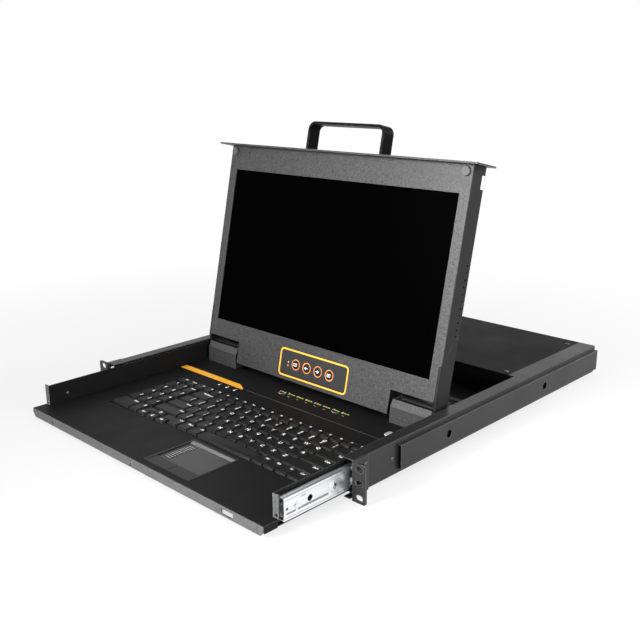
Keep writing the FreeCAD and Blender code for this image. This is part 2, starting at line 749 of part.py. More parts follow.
deck_half = "(" + tray_in + " - deck_gap)"
deck_low = "(deck_top - deck_sheet)"
apron_half = "(" + wall_x + " + apron_reach + 0.7)"
apron_rear = "(tray_front - apron_gap)"
deck_bend = profile("deck_bend", "XZ_Plane", [
    ("-" + deck_half, tray_floor), ("-" + deck_half, "deck_top"), (deck_half, "deck_top"),
    (deck_half, tray_floor), (deck_half + " - deck_sheet", tray_floor),
    (deck_half + " - deck_sheet", deck_low), ("-" + deck_half + " + deck_sheet", deck_low),
    ("-" + deck_half + " + deck_sheet", tray_floor)], ("tray_front", "deck_rear"))
lip_rear = "(apron_front + deck_sheet)"
apron_top = block("apron_top", ("-" + apron_half, apron_half), (lip_rear, apron_rear),
                  (deck_low, "deck_top"))
apron_joint = block("apron_joint", ("-" + deck_half, deck_half), (lip_rear, "tray_front"),
                    (deck_low, "deck_top"))
apron_side = block("apron_side", (apron_half + " - deck_sheet", apron_half),
                   (lip_rear, apron_rear + " - 1"), ("2", "deck_top"))
lip = profile("deck_lip", "XZ_Plane", [
    ("-" + apron_half, "deck_top"), (apron_half, "deck_top"),
    (apron_half, "lip_bottom + lip_corner"), (apron_half + " - lip_corner", "lip_bottom"),
    ("-" + apron_half + " + lip_corner", "lip_bottom"), ("-" + apron_half, "lip_bottom + lip_corner")],
    ("apron_front", lip_rear))

key_low = "(key_top - key_tall)"
row_y = {}
for number, row in enumerate(("number", "upper", "home", "lower", "bottom")):
    row_y[row] = "(number_y - %d*row_pitch)" % number
block_rear = "(function_y + function_deep/2 + opening_gap)"
block_front = "(" + row_y["bottom"] + " - row_pitch/2 - opening_gap)"
pad_left = "(pad_right - 3*pad_pitch)"
key_hole = block("deck_key_opening", (pad_left + " - opening_gap", "keys_right + opening_gap"),
                 (block_front, block_rear), ("0", "deck_top + 1"))
low_front = "(arrow_front - opening_gap)"
low_right = "(arrow_x + key_pitch/2 + opening_gap)"
low_hole = block("deck_low_opening", (pad_left + " - opening_gap", low_right),
                 (low_front, block_front + " + 2"), ("0", "deck_top + 1"))
touch_hole = block("deck_touch_opening", ("touch_left + touch_rim", "touch_right - touch_rim"),
                   ("touch_front + touch_rim", "touch_rear - touch_rim"), ("0", "deck_top + 1"))
swing_hole = block("deck_swing_opening", ("-neck_half - 2", "neck_half + 2"),
                   ("pivot_y - 9", "pivot_y + 11"), ("0", "deck_top + 1"))
lip_slot = block("deck_lip_slot", ("lip_slot_x - lip_slot_wide/2", "lip_slot_x + lip_slot_wide/2"),
                 ("apron_front - 1", lip_rear + " + 1"),
                 ("lip_slot_z - lip_slot_tall/2", "lip_slot_z + lip_slot_tall/2"))
lip_span = ("apron_front - 1", lip_rear + " + 1")
lip_marks = [rod("lip_hole_left", "y", "lip_hole", lip_span, x="-lip_hole_x", z="lip_hole_z"),
             rod("lip_hole_middle", "y", "lip_hole", lip_span, x="0", z="lip_hole_z")]
seam = block("lip_seam_right", (apron_half + " - lip_seam_in", apron_half + " - lip_seam_in + lip_seam"),
             ("apron_front - 1", "apron_front + lip_seam"), ("lip_bottom - 1", "deck_top + 1"))
lip_marks += [seam, mirrored("lip_seam_left", seam)]
deck_sheet_cut = cut("deck_sheet_cut", fuse("deck_sheet_metal", deck_bend, apron_top, apron_joint, apron_side,
                                            mirrored("apron_side_left", apron_side)),
                     key_hole, low_hole, touch_hole, swing_hole)
front_strip = cut("deck_front_strip", lip, lip_slot, *lip_marks)
nodes.append(gather("deck_plate", [deck_sheet_cut, front_strip]))

# ---- keyboard: tapered key caps in rows, over a shallow base ---------------------------
base_floor = "(" + tray_floor + " + base_sheet)"
base_left = "(" + pad_left + " - opening_gap)"
base_right = "(keys_right + opening_gap)"
base_main = block("base_main", (base_left + " - base_wall", base_right + " + base_wall"),
                  (block_front + " - base_wall", block_rear + " + base_wall"), (tray_floor, deck_low))
base_low = block("base_low", (base_left + " - base_wall", low_right + " + base_wall"),
                 (low_front + " - base_wall", block_front), (tray_floor, deck_low))
base_well = block("base_well", (base_left, base_right), (block_front, block_rear),
                  (base_floor, "deck_top + 1"))
base_low_well = block("base_low_well", (base_left, low_right), (low_front, block_front + " + 2"),
                      (base_floor, "deck_top + 1"))
nodes.append(cut("keyboard_base", fuse("base_solid", base_main, base_low), base_well, base_low_well))

TURN_KEY = FreeCAD.Rotation(Vec(1, 0, 0), 90)


def key(label, left, right, front, rear):
    """Key cap in one cell of the layout: wide at the skirt and narrower on top."""
    cap = doc.addObject("Part::Wedge", label)
    inset = "key_gap/2"
    drive(cap, "Xmin", "%s + %s" % (left, inset))
    drive(cap, "Xmax", "%s - %s" % (right, inset))
    drive(cap, "X2min", "%s + %s + key_taper" % (left, inset))
    drive(cap, "X2max", "%s - %s - key_taper" % (right, inset))
    drive(cap, "Zmin", "-(%s - %s)" % (rear, inset))
    drive(cap, "Zmax", "-(%s + %s)" % (front, inset))
    drive(cap, "Z2min", "-(%s - %s - key_taper)" % (rear, inset))
    drive(cap, "Z2max", "-(%s + %s + key_taper)" % (front, inset))
    drive(cap, "Ymin", "0")
    drive(cap, "Ymax", "key_tall")
    return place(cap, "0", "0", "floor_z + " + key_low, TURN_KEY)


def key_run(label, row, right, pitch, count):
    """Equal keys side by side, counted from the right."""
    caps = []
    for number in range(count):
        caps.append(key("%s_%d" % (label, number + 1),
                        "(%s - %d*%s)" % (right, number + 1, pitch),
                        "(%s - %d*%s)" % (right, number, pitch), row[0], row[1]))
    return caps


def cell_row(centre, deep):
    return ("(%s - %s/2)" % (centre, deep), "(%s + %s/2)" % (centre, deep))


main_caps = []
lead_counts = (("number", "number_lead", 12), ("upper", "upper_lead", 12),
               ("home", "home_lead", 11), ("lower", "lower_lead", 10))
enter_cap = None
for row, lead, count in lead_counts:
    cells = cell_row(row_y[row], "row_pitch")
    main_caps += key_run(row + "_lead_key", cells, "keys_right", lead, 1)
    main_caps += key_run(row + "_key", cells, "(keys_right - %s)" % lead, "key_pitch", count)
    last = key(row + "_end_key", "main_left", "(keys_right - %s - %d*key_pitch)" % (lead, count), *cells)
    if row == "home":
        enter_cap = last
    else:
        main_caps.append(last)
cells = cell_row(row_y["bottom"], "row_pitch")
main_caps += key_run("bottom_key", cells, "keys_right", "key_pitch", 4)
main_caps += key_run("bottom_far_key", cells, "space_left", "space_pitch", 3)
nodes.append(gather("keys_main", main_caps))
nodes.append(gather("key_enter", [enter_cap]))
nodes.append(gather("key_space", [key("space_cap", "space_left", "(keys_right - 4*key_pitch)", *cells)]))

cells = cell_row("function_y", "function_deep")
function_caps = key_run("function_key", cells, "keys_right", "function_pitch", 17)
function_caps += key_run("function_far_key", cells, "pad_right", "pad_pitch", 3)
nodes.append(gather("keys_function", function_caps))

pad_caps = []
for row in ("number", "upper", "home", "lower"):
    pad_caps += key_run("pad_%s_key" % row, cell_row(row_y[row], "row_pitch"), "pad_right", "pad_pitch", 3)
low_cells = ("pad_front", "(" + row_y["lower"] + " - row_pitch/2)")
pad_caps += key_run("pad_low_key", low_cells, "pad_right", "pad_pitch", 1)
pad_caps.append(key("pad_wide_key", pad_left, "(pad_right - pad_pitch)", *low_cells))
nodes.append(gather("keys_pad", pad_caps))

arrow_caps = key_run("arrow_key", ("arrow_front", "arrow_split"), "(arrow_x + key_pitch/2)", "key_pitch", 3)
arrow_caps.append(key("arrow_up_key", "(arrow_x - 3*key_pitch/2)", "(arrow_x - key_pitch/2)",
                      "arrow_split", low_cells[1]))
nodes.append(gather("keys_arrow", arrow_caps))

# ---- touchpad: a shallow tray with a rim, the pad and two buttons ----------------------
tub_x = ("touch_left + touch_rim + 0.1", "touch_right - touch_rim - 0.1")
tub_y = ("touch_front + touch_rim + 0.1", "touch_rear - touch_rim - 0.1")
tub = block("touch_tub", tub_x, tub_y, ("deck_top - touch_deep", "deck_top"))
rim_plate = block("touch_rim_plate", ("touch_left", "touch_right"), ("touch_front", "touch_rear"),
                  ("deck_top", "deck_top + touch_rise"))
well_x = (tub_x[0] + " + touch_rim", tub_x[1] + " - touch_rim")
well_y = (tub_y[0] + " + touch_rim", tub_y[1] + " - touch_band")
well_low = "(deck_top - touch_deep + 1)"
well = block("touch_well", well_x, well_y, (well_low, "deck_top + 1"))
slope_foot = "deck_top - touch_pad_low"
slope = profile("touch_slope_cut", "YZ_Plane", [
    (well_y[1] + " - 1", slope_foot), (well_y[1], slope_foot), (well_y[1] + " + touch_slope", "deck_top + touch_rise"),
    (well_y[1] + " + touch_slope", "deck_top + 1"), (well_y[1] + " - 1", "deck_top + 1")], well_x)
nodes.append(cut("touchpad_frame", fuse("touch_body", tub, rim_plate), well, slope))
pad_near = "(touch_front + touch_rim + 0.1 + touch_rim + touch_button)"
surface = block("touch_pad", well_x, (pad_near, well_y[1]), (well_low, slope_foot))
ribs = []
for number in range(11):
    along = "(%s - 6 - %d*3.3)" % (well_y[1], number)
    ribs.append(block("touch_rib_%d" % (number + 1), (well_x[0] + " + 6", well_x[0] + " + 17"),
                      (along + " - 0.55", along + " + 0.55"), (slope_foot, slope_foot + " + 0.6")))
nodes.append(fuse("touchpad_surface", surface, *ribs))
button_y = (well_y[0] + " + touch_gap", pad_near + " - touch_gap")
button_z = ("deck_top - 2.8", "deck_top")
nodes.append(block("touchpad_button_left", (well_x[0] + " + touch_gap", "touch_split - touch_gap"),
                   button_y, button_z))
nodes.append(block("touchpad_button_right", ("touch_split + touch_gap", well_x[1] + " - touch_gap"),
                   button_y, button_z))

# ---- hinge: fixed barrels on the deck under folded covers ------------------------------
cover_back = "(cover_front + cover_top_in)"
front_in = "(cover_front + cover_sheet)"
cover_bend = profile("cover_bend", "YZ_Plane", [
    ("cover_front", "deck_top"), (front_in, "deck_top"),
    (front_in + " + cover_lean", "cover_bevel - cover_sheet/2"),
    ("cover_front + cover_bevel_in + cover_sheet/2", "cover_top - cover_sheet"),
    (cover_back, "cover_top - cover_sheet"), (cover_back, "cover_top"),
    ("cover_front + cover_bevel_in", "cover_top"),
    ("cover_front + cover_lean", "cover_bevel")], ("cover_in", "(" + narrow_half + " - cover_side_gap)"))
cover_end = profile("cover_end", "YZ_Plane", [
    ("cover_front", "deck_top"), ("cover_front + cover_end_deep", "deck_top"),
    ("cover_front + cover_end_deep", "cover_top"), ("cover_front + cover_bevel_in", "cover_top"),
    ("cover_front + cover_lean", "cover_bevel")], ("cover_in", "cover_in + cover_sheet"))
hinge_cover = fuse("hinge_cover_right", cover_bend, cover_end)
nodes.append(hinge_cover)
nodes.append(mirrored("hinge_cover_left", hinge_cover))

barrel = rod("barrel_tube", "x", "barrel_size", ("barrel_in", "barrel_out"), y="pivot_y", z="pivot_z")
barrel_post = block("barrel_post", ("barrel_in + 2", "barrel_out - 2"),
                    ("pivot_y - barrel_size/2 + 2", "pivot_y + barrel_size/2"), ("deck_top", "pivot_z"))
barrel_foot = block("barrel_foot", ("barrel_in - 2", "barrel_out + 2"),
                    (cover_back, "pivot_y + 11"), ("deck_top", "deck_top + hinge_foot"))
barrel_bore = rod("barrel_bore", "x", "pin_size + 2*pin_play", ("barrel_in - 1", "barrel_out + 1"),
                  y="pivot_y", z="pivot_z")
hinge_barrel = cut("hinge_barrel_right", fuse("barrel_solid", barrel, barrel_post, barrel_foot), barrel_bore)
nodes.append(hinge_barrel)
nodes.append(mirrored("hinge_barrel_left", hinge_barrel))

# ---- lamps and the lid catch on the deck ------------------------------------------------
lamps = []
lamp_z = ("deck_top", "deck_top + deck_lamp_rise")


def lamp(label, x, y):
    """Flat lamp window lying on the deck."""
    return block(label, ("%s - deck_lamp_wide/2" % x, "%s + deck_lamp_wide/2" % x),
                 ("%s - deck_lamp_long/2" % y, "%s + deck_lamp_long/2" % y), lamp_z)


for number in range(8):
    for side, shift in (("a", "-2.2"), ("b", "+2.2")):
        lamps.append(lamp("port_lamp_%d%s" % (number + 1, side),
                          "(port_lamp_first + %d*port_lamp_pitch %s)" % (number, shift), "port_lamp_y"))
for number in range(3):
    lamps.append(lamp("lock_lamp_%d" % (number + 1),
                      "(lock_lamp_first + %d*lock_lamp_pitch)" % number, "lock_lamp_y"))
nodes.append(gather("status_lamps", lamps))
nodes.append(block("catch_plate", ("catch_x - catch_wide/2", "catch_x + catch_wide/2"),
                   ("catch_y - catch_long/2", "catch_y + catch_long/2"),
                   ("deck_top", "deck_top + catch_rise")))

# ---- screen: drawn about the hinge axis, Z up its height, -Y out of its face -------------


def posed(node):
    """Stand a finished piece of the screen on the hinge, leaning back."""
    place(node, "0", "pivot_y", "floor_z + pivot_z")
    drive(node, "Placement.Rotation.Axis.x", "1")
    drive(node, "Placement.Rotation.Axis.y", "0")
    drive(node, "Placement.Rotation.Axis.z", "0")
    drive(node, "Placement.Rotation.Angle", "-screen_lean")
    return node


def tee(width, low, high, step_up, narrow, neck, neck_end):
    """Outline of the screen seen from the front: wide above, narrower low down, with a neck."""
    return [("-" + neck, neck_end), (neck, neck_end), (neck, low), (narrow, low), (narrow, step_up),
            (width, step_up), (width, high), ("-" + width, high), ("-" + width, step_up),
            ("-" + narrow, step_up), ("-" + narrow, low), ("-" + neck, low)]


face = "-screen_face"
under_face = "-(screen_face - bezel_sheet)"
bezel_plate = profile("bezel_plate", "XZ_Plane",
                      tee(screen_half, "screen_low", "screen_high", "step_front", narrow_half,
                          "neck_half", "neck_low"), (face, under_face), AXIS)
view_half = "(" + screen_half + " - view_border)"
view_hole = block("bezel_view", ("-" + view_half, view_half), (face + " - 1", under_face + " + 1"),
                  ("view_low", "view_high"), AXIS)
step_cut = profile("screen_step_cut", "YZ_Plane", [
    (face, "screen_low - 1"), ("-screen_back + 1", "screen_low - 1"),
    ("-screen_back + 1", "step_back + (step_back - step_front)/(screen_face - screen_back)"),
    (face, "step_front")], (narrow_half, screen_half + " + 1"), AXIS)
step_cut_left = mirrored("screen_step_cut_left", step_cut)
bezel_tools = [view_hole, step_cut, step_cut_left]
bezel_tools.append(rod("bezel_spare_hole", "y", "spare_hole", (face + " - 1", under_face + " + 1"),
                       x="-spare_hole_x", z="spare_hole_up", datum=AXIS))
button_x = []
for number in range(4):
    button_x.append("(button_first + %d*button_pitch)" % number)
    bezel_tools.append(rod("bezel_button_hole_%d" % (number + 1), "y", "button_size + 2*button_play",
                           (face + " - 1", under_face + " + 1"), x=button_x[number], z="button_up",
                           datum=AXIS))
nodes.append(posed(cut("lcd_bezel", bezel_plate, *bezel_tools)))

shell_solid = profile("screen_shell_solid", "XZ_Plane",
                      tee(screen_half, "screen_low", "screen_high", "step_front", narrow_half,
                          "neck_half", "neck_low"), (under_face, "-screen_back"), AXIS)
hollow_half = "(" + narrow_half + " - shell_wall)"
hollow = block("screen_hollow", ("-" + hollow_half, hollow_half),
               (under_face + " - 1", "-screen_back - shell_wall"),
               ("screen_low + shell_wall", "screen_high - shell_wall"), AXIS)
neck_hollow = block("screen_neck_hollow", ("-neck_half + shell_wall", "neck_half - shell_wall"),
                    (under_face + " - 1", "-screen_back - shell_wall"),
                    ("neck_low + shell_wall", "screen_low + shell_wall + 1"), AXIS)
shell_tools = [hollow, neck_hollow, step_cut, step_cut_left]
for number in range(11):
    rise = "(vent_low + %d*vent_pitch)" % number
    shell_tools.append(block("screen_vent_%d" % (number + 1), (hollow_half + " - 1", screen_half + " + 1"),
                             ("-vent_fore - vent_size/2", "-vent_fore + vent_size/2"),
                             (rise + " - vent_size/2", rise + " + vent_size/2"), AXIS))
shell_tools.append(rod("screen_latch_bore", "x", "latch_size + 2*latch_play",
                       ("-" + screen_half + " - 1", "-" + hollow_half + " + 1"), y="-tube_fore",
                       z="latch_up", datum=AXIS))
shell_tools.append(block("screen_latch_keep", (screen_half + " - keep_deep", screen_half + " + 1"),
                         ("-keep_fore", "-keep_aft"), ("keep_low", "keep_high"), AXIS))
for number in range(16):
    column = "(%d*1.4*back_slot_long)" % (number % 8 - 4)
    rise = "(screen_low + 24 + %d*back_slot_pitch)" % (number // 8)
    shell_tools.append(block("back_slot_%d" % (number + 1), (column + " + 4", column + " + 4 + back_slot_long"),
                             ("-screen_back - shell_wall - 1", "-screen_back + 1"),
                             (rise + " - back_slot_tall/2", rise + " + back_slot_tall/2"), AXIS))
nodes.append(posed(cut("lcd_back_shell", shell_solid, *shell_tools)))

panel_slab = block("panel_slab", ("-" + view_half + " - panel_lap", view_half + " + panel_lap"),
                   (under_face + " + panel_gap", "-panel_back"),
                   ("view_low - panel_lap", "view_high + panel_lap"), AXIS)
nodes.append(posed(gather("lcd_panel", [panel_slab])))
board = block("driver_board", ("-70", "70"), ("-screen_back - shell_wall - 9", "-screen_back - shell_wall - 7.4"),
              ("80", "170"), AXIS)
posts = []
for number, (x, z) in enumerate((("-64", "86"), ("64", "86"), ("-64", "164"), ("64", "164")), 1):
    posts.append(block("driver_post_%d" % number, (x + " - 3", x + " + 3"),
                       ("-screen_back - shell_wall - 7.4", "-screen_back - shell_wall"),
                       (z + " - 3", z + " + 3"), AXIS))
nodes.append(posed(fuse("controller_board", board, *posts)))

# side arms reach down to the hinge pins and carry a cross tube over each barrel
arm_x = (narrow_half + " + 0.1", screen_half)
arm_plate = profile("arm_plate", "YZ_Plane", [
    (face, "step_front"), (face, "screen_low"), ("-arm_round + 1.5", "-arm_round/2"),
    ("arm_round - 1.5", "-arm_round/2"), ("-screen_back", "screen_low"), ("-screen_back", "step_back")],
    arm_x, AXIS)
arm_disc = rod("arm_disc", "x", "2*arm_round", arm_x, datum=AXIS)
arm_pin = rod("arm_pin", "x", "pin_size", ("barrel_in + 2", arm_x[1]), datum=AXIS)
arm_tube = rod("arm_tube", "x", "tube_size", ("barrel_in", arm_x[1]), y="-tube_fore", z="tube_up", datum=AXIS)
arm = fuse("arm_solid", arm_plate, arm_disc, arm_pin, arm_tube)
nodes.append(posed(gather("lcd_arm_right", [arm])))
nodes.append(posed(mirrored("lcd_arm_left", arm)))

# front panel: it stands on top of the raised screen and closes the rack unit when folded
panel = profile("front_plate", "XZ_Plane", [
    ("-front_half", "screen_high"), ("front_half", "screen_high"),
    ("front_half", "screen_high + front_sheet"), ("-front_half", "screen_high + front_sheet")],
    ("-front_low", "-screen_back"), AXIS)
corner_x = size("front_half")
soften(panel, "front_corners", "Fillet", "front_corner", lambda edge: runs_along(edge, Vec(0, 0, 1))
       and abs(abs(edge.CenterOfMass.x) - corner_x) < 0.01)
nodes.append(posed(gather("front_panel", [panel])))

handle_low = "(screen_high + front_sheet)"
handle_top = "(" + handle_low + " + handle_out)"
bow = profile("handle_bow", "XZ_Plane", [
    ("-handle_half", handle_low), ("-handle_half", handle_top), ("handle_half", handle_top),
    ("handle_half", handle_low), ("handle_half - handle_bar", handle_low),
    ("handle_half - handle_bar", handle_top + " - handle_bar"),
    ("-handle_half + handle_bar", handle_top + " - handle_bar"),
    ("-handle_half + handle_bar", handle_low)], ("-handle_fore", "-handle_aft"), AXIS)
bow_top = size("screen_high") + size("front_sheet") + size("handle_out")
soften(bow, "handle_outer_round", "Fillet", "handle_round", lambda edge: runs_along(edge, Vec(0, 1, 0))
       and abs(edge.CenterOfMass.z - bow_top) < 0.01)
soften(bow, "handle_inner_round", "Fillet", "handle_round - handle_bar",
       lambda edge: runs_along(edge, Vec(0, 1, 0))
       and abs(edge.CenterOfMass.z - bow_top + size("handle_bar")) < 0.01)
fore = -size("handle_fore")
aft = -size("handle_aft")
soften(bow, "handle_edges", "Chamfer", "handle_edge", lambda edge: edge.BoundBox.YLength < 1e-6
       and min(abs(edge.CenterOfMass.y - fore), abs(edge.CenterOfMass.y - aft)) < 0.01
       and not (runs_along(edge, Vec(1, 0, 0)) and edge.CenterOfMass.z < bow_top - size("handle_out") + 0.01))
nodes.append(posed(gather("handle", [bow])))

bumper = rod("bumper_right", "y", "bumper_size", (face + " - bumper_tall", face), x="bumper_x",
             z="bumper_up", datum=AXIS)
nodes.append(posed(gather("bumpers", [bumper, mirrored("bumper_left", bumper)])))

latch_pin = rod("latch_pin", "x", "latch_size", ("-" + screen_half + " - latch_reach",
                                                 "-" + hollow_half + " + 3"),
                y="-tube_fore", z="latch_up", datum=AXIS)
nodes.append(latch_pin)
drive(latch_pin, "Placement.Base.x", "-" + screen_half + " - latch_reach")
drive(latch_pin, "Placement.Base.y", "pivot_y - tube_fore*cos(screen_lean) + latch_up*sin(screen_lean)")
drive(latch_pin, "Placement.Base.z",
      "floor_z + pivot_z + latch_up*cos(screen_lean) + tube_fore*sin(screen_lean)")

# ---- screen controls: a raised frame, four ringed buttons and two lamps ------------------
trim_y = (face + " - trim_rise", face)
trim_plate = profile("trim_plate", "XZ_Plane", [
    ("trim_left", "trim_low"), ("trim_right", "trim_low"), ("trim_right", "trim_high"),
    ("trim_left", "trim_high")], trim_y, AXIS)
soften(trim_plate, "trim_rounding", "Fillet", "trim_round", lambda edge: runs_along(edge, Vec(0, 1, 0)))
trim_void = profile("trim_void", "XZ_Plane", [
    ("trim_left + trim_wide", "trim_low + trim_wide"), ("trim_right - trim_wide", "trim_low + trim_wide"),
    ("trim_right - trim_wide", "trim_high - trim_wide"), ("trim_left + trim_wide", "trim_high - trim_wide")],
    (trim_y[0] + " - 1", trim_y[1] + " + 1"), AXIS)
soften(trim_void, "trim_void_rounding", "Fillet", "trim_round - trim_wide",
       lambda edge: runs_along(edge, Vec(0, 1, 0)))
nodes.append(posed(cut("osd_trim", trim_plate, trim_void)))
osd_lamps = []
for number in range(2):
    up = "lamp_up + %d*lamp_pitch" % number
    osd_lamps.append(block("osd_lamp_%d" % (number + 1), ("lamp_x - lamp_size/2", "lamp_x + lamp_size/2"),
                           trim_y, (up + " - lamp_size/2", up + " + lamp_size/2"), AXIS))
nodes.append(posed(gather("osd_lamps", osd_lamps)))
for number in range(4):
    cap = rod("osd_cap_%d" % (number + 1), "y", "button_size",
              (face + " - button_rise", under_face), x=button_x[number], z="button_up", datum=AXIS)
    nodes.append(posed(gather("osd_button_%d" % (number + 1), [cap])))

# ---- rear bay: switch board, ports, power supply, inlet and rocker -----------------------
rear_in = "(chassis_rear - chassis_sheet)"
board_z = "(chassis_sheet + board_rise)"
port_centre = []
for number in range(9):
    port_centre.append("(port_first + %d*port_pitch)" % number)
board_left = "(" + port_centre[0] + " - port_wide/2)"
board_right = "(" + port_centre[8] + " + port_wide/2)"
switch_plate = block("switch_plate", (board_left, board_right), ("board_front", rear_in + " - 2"),
                     (board_z, board_z + " + board_sheet"))
stand = []
for number, (x, y) in enumerate(((board_left + " + 6", "board_front + 6"),
                                 (board_right + " - 6", "board_front + 6"),
                                 (board_left + " + 6", rear_in + " - 24"),
                                 (board_right + " - 6", rear_in + " - 24")), 1):
    stand.append(block("stand_%d" % number, (x + " - 3", x + " + 3"), (y + " - 3", y + " + 3"),
                       ("chassis_sheet", board_z)))
nodes.append(fuse("switch_board", switch_plate, *stand))
ports = []
for number in range(9):
    middle = port_centre[number]
    socket = block("port_shell_%d" % (number + 1), (middle + " - port_wide/2 + 7", middle + " + port_wide/2 - 7"),
                   (rear_in + " - 0.8", "chassis_rear + port_proud"),
                   ("port_z - port_tall/2 + 2", "port_z + port_tall/2 - 2"))
    seat = block("port_body_%d" % (number + 1), (middle + " - port_wide/2", middle + " + port_wide/2"),
                 (rear_in + " - 12", rear_in), (board_z + " + board_sheet", "port_z + port_tall/2"))
    ports.append(fuse("port_%d" % (number + 1), socket, seat))
nodes.append(gather("rear_ports", ports))
nodes.append(block("power_supply", ("supply_left", "supply_right"), ("supply_front", "supply_rear"),
                   ("chassis_sheet", "chassis_sheet + supply_tall")))
inlet_x = ("inlet_x - inlet_wide/2", "inlet_x + inlet_wide/2")
inlet_z = ("port_z - inlet_tall/2", "port_z + inlet_tall/2")
inlet_rim = block("inlet_rim", (inlet_x[0] + " - 2", inlet_x[1] + " + 2"), ("chassis_rear", "chassis_rear + 1.6"),
                  (inlet_z[0] + " - 2", inlet_z[1] + " + 2"))
inlet_body = block("inlet_body", (inlet_x[0] + " + 0.2", inlet_x[1] + " - 0.2"),
                   ("chassis_rear - inlet_deep", "chassis_rear + 1"), (inlet_z[0] + " + 0.2", inlet_z[1] + " - 0.2"))
inlet_throat = block("inlet_throat", (inlet_x[0] + " + inlet_wall", inlet_x[1] + " - inlet_wall"),
                     ("chassis_rear - inlet_deep + 5", "chassis_rear + 3"),
                     (inlet_z[0] + " + inlet_wall", inlet_z[1] + " - inlet_wall"))
prongs = []
for number, (shift, rise) in enumerate((("-7", "-1"), ("0", "3"), ("7", "-1")), 1):
    prongs.append(block("inlet_prong_%d" % number, ("inlet_x + %s - 1" % shift, "inlet_x + %s + 1" % shift),
                        ("chassis_rear - inlet_deep + 4", "chassis_rear - 3"),
                        ("port_z + %s - 2" % rise, "port_z + %s + 2" % rise)))
nodes.append(fuse("power_inlet", cut("inlet_housing", fuse("inlet_solid", inlet_rim, inlet_body), inlet_throat),
                  *prongs))
rocker_x = ("rocker_x - rocker_wide/2", "rocker_x + rocker_wide/2")
rocker_z = ("port_z - rocker_tall/2", "port_z + rocker_tall/2")
rocker_rim = block("rocker_rim", (rocker_x[0] + " - 1.5", rocker_x[1] + " + 1.5"),
                   ("chassis_rear", "chassis_rear + 1.6"), (rocker_z[0] + " - 1.5", rocker_z[1] + " + 1.5"))
rocker_box = block("rocker_box", (rocker_x[0] + " + 0.2", rocker_x[1] + " - 0.2"),
                   ("chassis_rear - 16", "chassis_rear + 1"), (rocker_z[0] + " + 0.2", rocker_z[1] + " - 0.2"))
rocker_void = block("rocker_void", (rocker_x[0] + " + rocker_wall", rocker_x[1] + " - rocker_wall"),
                    ("chassis_rear - 14", "chassis_rear + 3"),
                    (rocker_z[0] + " + rocker_wall", rocker_z[1] + " - rocker_wall"))
rocker_bore = rod("rocker_bore", "x", "rocker_pin + 2*rocker_pin_play",
                  (rocker_x[0] + " + 0.6", rocker_x[1] + " - 0.6"), y="chassis_rear - 2", z="port_z")
nodes.append(cut("rocker_frame", fuse("rocker_solid", rocker_rim, rocker_box), rocker_void, rocker_bore))
tilt_half = "(rocker_tall/2 - rocker_wall - rocker_gap)"
rocker_cap = profile("rocker_cap", "YZ_Plane", [
    ("chassis_rear - 4", "port_z - %s + 1" % tilt_half), ("chassis_rear + 1.4", "port_z - %s + 0.6" % tilt_half),
    ("chassis_rear + 2.2", "port_z"), ("chassis_rear + 3.6", "port_z + %s - 1" % tilt_half),
    ("chassis_rear - 3", "port_z + %s - 1" % tilt_half)],
    (rocker_x[0] + " + rocker_wall + rocker_gap", rocker_x[1] + " - rocker_wall - rocker_gap"))
rocker_axle = rod("rocker_axle", "x", "rocker_pin", (rocker_x[0] + " + 0.9", rocker_x[1] + " - 0.9"),
                  y="chassis_rear - 2", z="port_z")
nodes.append(gather("power_rocker", [fuse("rocker_body", rocker_cap, rocker_axle)]))

# ---- fasteners ----------------------------------------------------------------------------
chassis_screws = []
for side in ("right", "left"):
    for number, rise in enumerate(("31", "8"), 1):
        if side == "right":
            span = (half + " + ear_sheet", half + " + ear_sheet + screw_rise")
        else:
            span = ("-" + half + " - ear_sheet - screw_rise", "-" + half + " - ear_sheet")
        chassis_screws.append(rod("ear_screw_%s_%d" % (side, number), "x", "screw_head - 1", span,
                                  y="ear_return - 5", z=rise))
    if side == "right":
        span = (half, half + " + 0.6")
    else:
        span = ("-" + half + " - 0.6", "-" + half)
    chassis_screws.append(rod("side_screw_" + side, "x", "screw_head - 0.8", span, y="side_screw_y",
                              z="slide_centre + 0.4"))
    for number, back_by in enumerate(("10", "170"), 1):
        sign = "" if side == "right" else "-"
        chassis_screws.append(rod("cover_screw_%s_%d" % (side, number), "z", "screw_head",
                                  (top, top + " + 1.0"), x=sign + "(" + cover_edge + " - 8)",
                                  y="rim_step + " + back_by))
nodes.append(gather("chassis_screws", chassis_screws))
drawer_screws = []
for number, along in enumerate(("tray_front + 26",), 1):
    for sign, span in (("", (tray_in + " - screw_rise", tray_in)),
                       ("-", ("-" + tray_in, "-" + tray_in + " + screw_rise"))):
        drawer_screws.append(rod("drawer_screw_%d%s" % (number, "l" if sign else "r"), "x", "screw_head - 1",
                                 span, y=along, z="slide_centre"))
nodes.append(gather("drawer_screws", drawer_screws))

# ---- check every object, then write one file for each node ---------------------------------
doc.recompute()
for obj in doc.Objects:
    if "Invalid" in obj.State or "Error" in obj.State:
        raise RuntimeError("object %s did not build: %s" % (obj.Label, obj.State))
labels = [node.Label for node in nodes]
if len(set(labels)) != len(labels):
    raise RuntimeError("two nodes share a name")
os.makedirs("parts", exist_ok=True)
for node in nodes:
    if node.Shape.isNull() or not node.Shape.isValid():
        raise RuntimeError("shape of %s is not valid" % node.Label)
    if not node.Shape.Solids:
        raise RuntimeError("%s holds no solid" % node.Label)
for node in nodes:
    node.Shape.exportStep("parts/%s.step" % node.Label)
print("%d nodes, %d solids" % (len(nodes), sum(len(node.Shape.Solids) for node in nodes)))
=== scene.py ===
# %% [markdown]
# A one-unit rack console drawer: a folded steel chassis, a drawer with a keyboard and a
# touchpad on ball slides, and a screen that folds up from the back of the drawer. The
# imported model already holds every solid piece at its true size. This lesson adds the
# finishes, the sculpted key caps, the printed marks and the small touches, and then the
# studio around it.

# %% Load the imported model
import json
import math
import bmesh
import bpy
from mathutils import Matrix, Vector


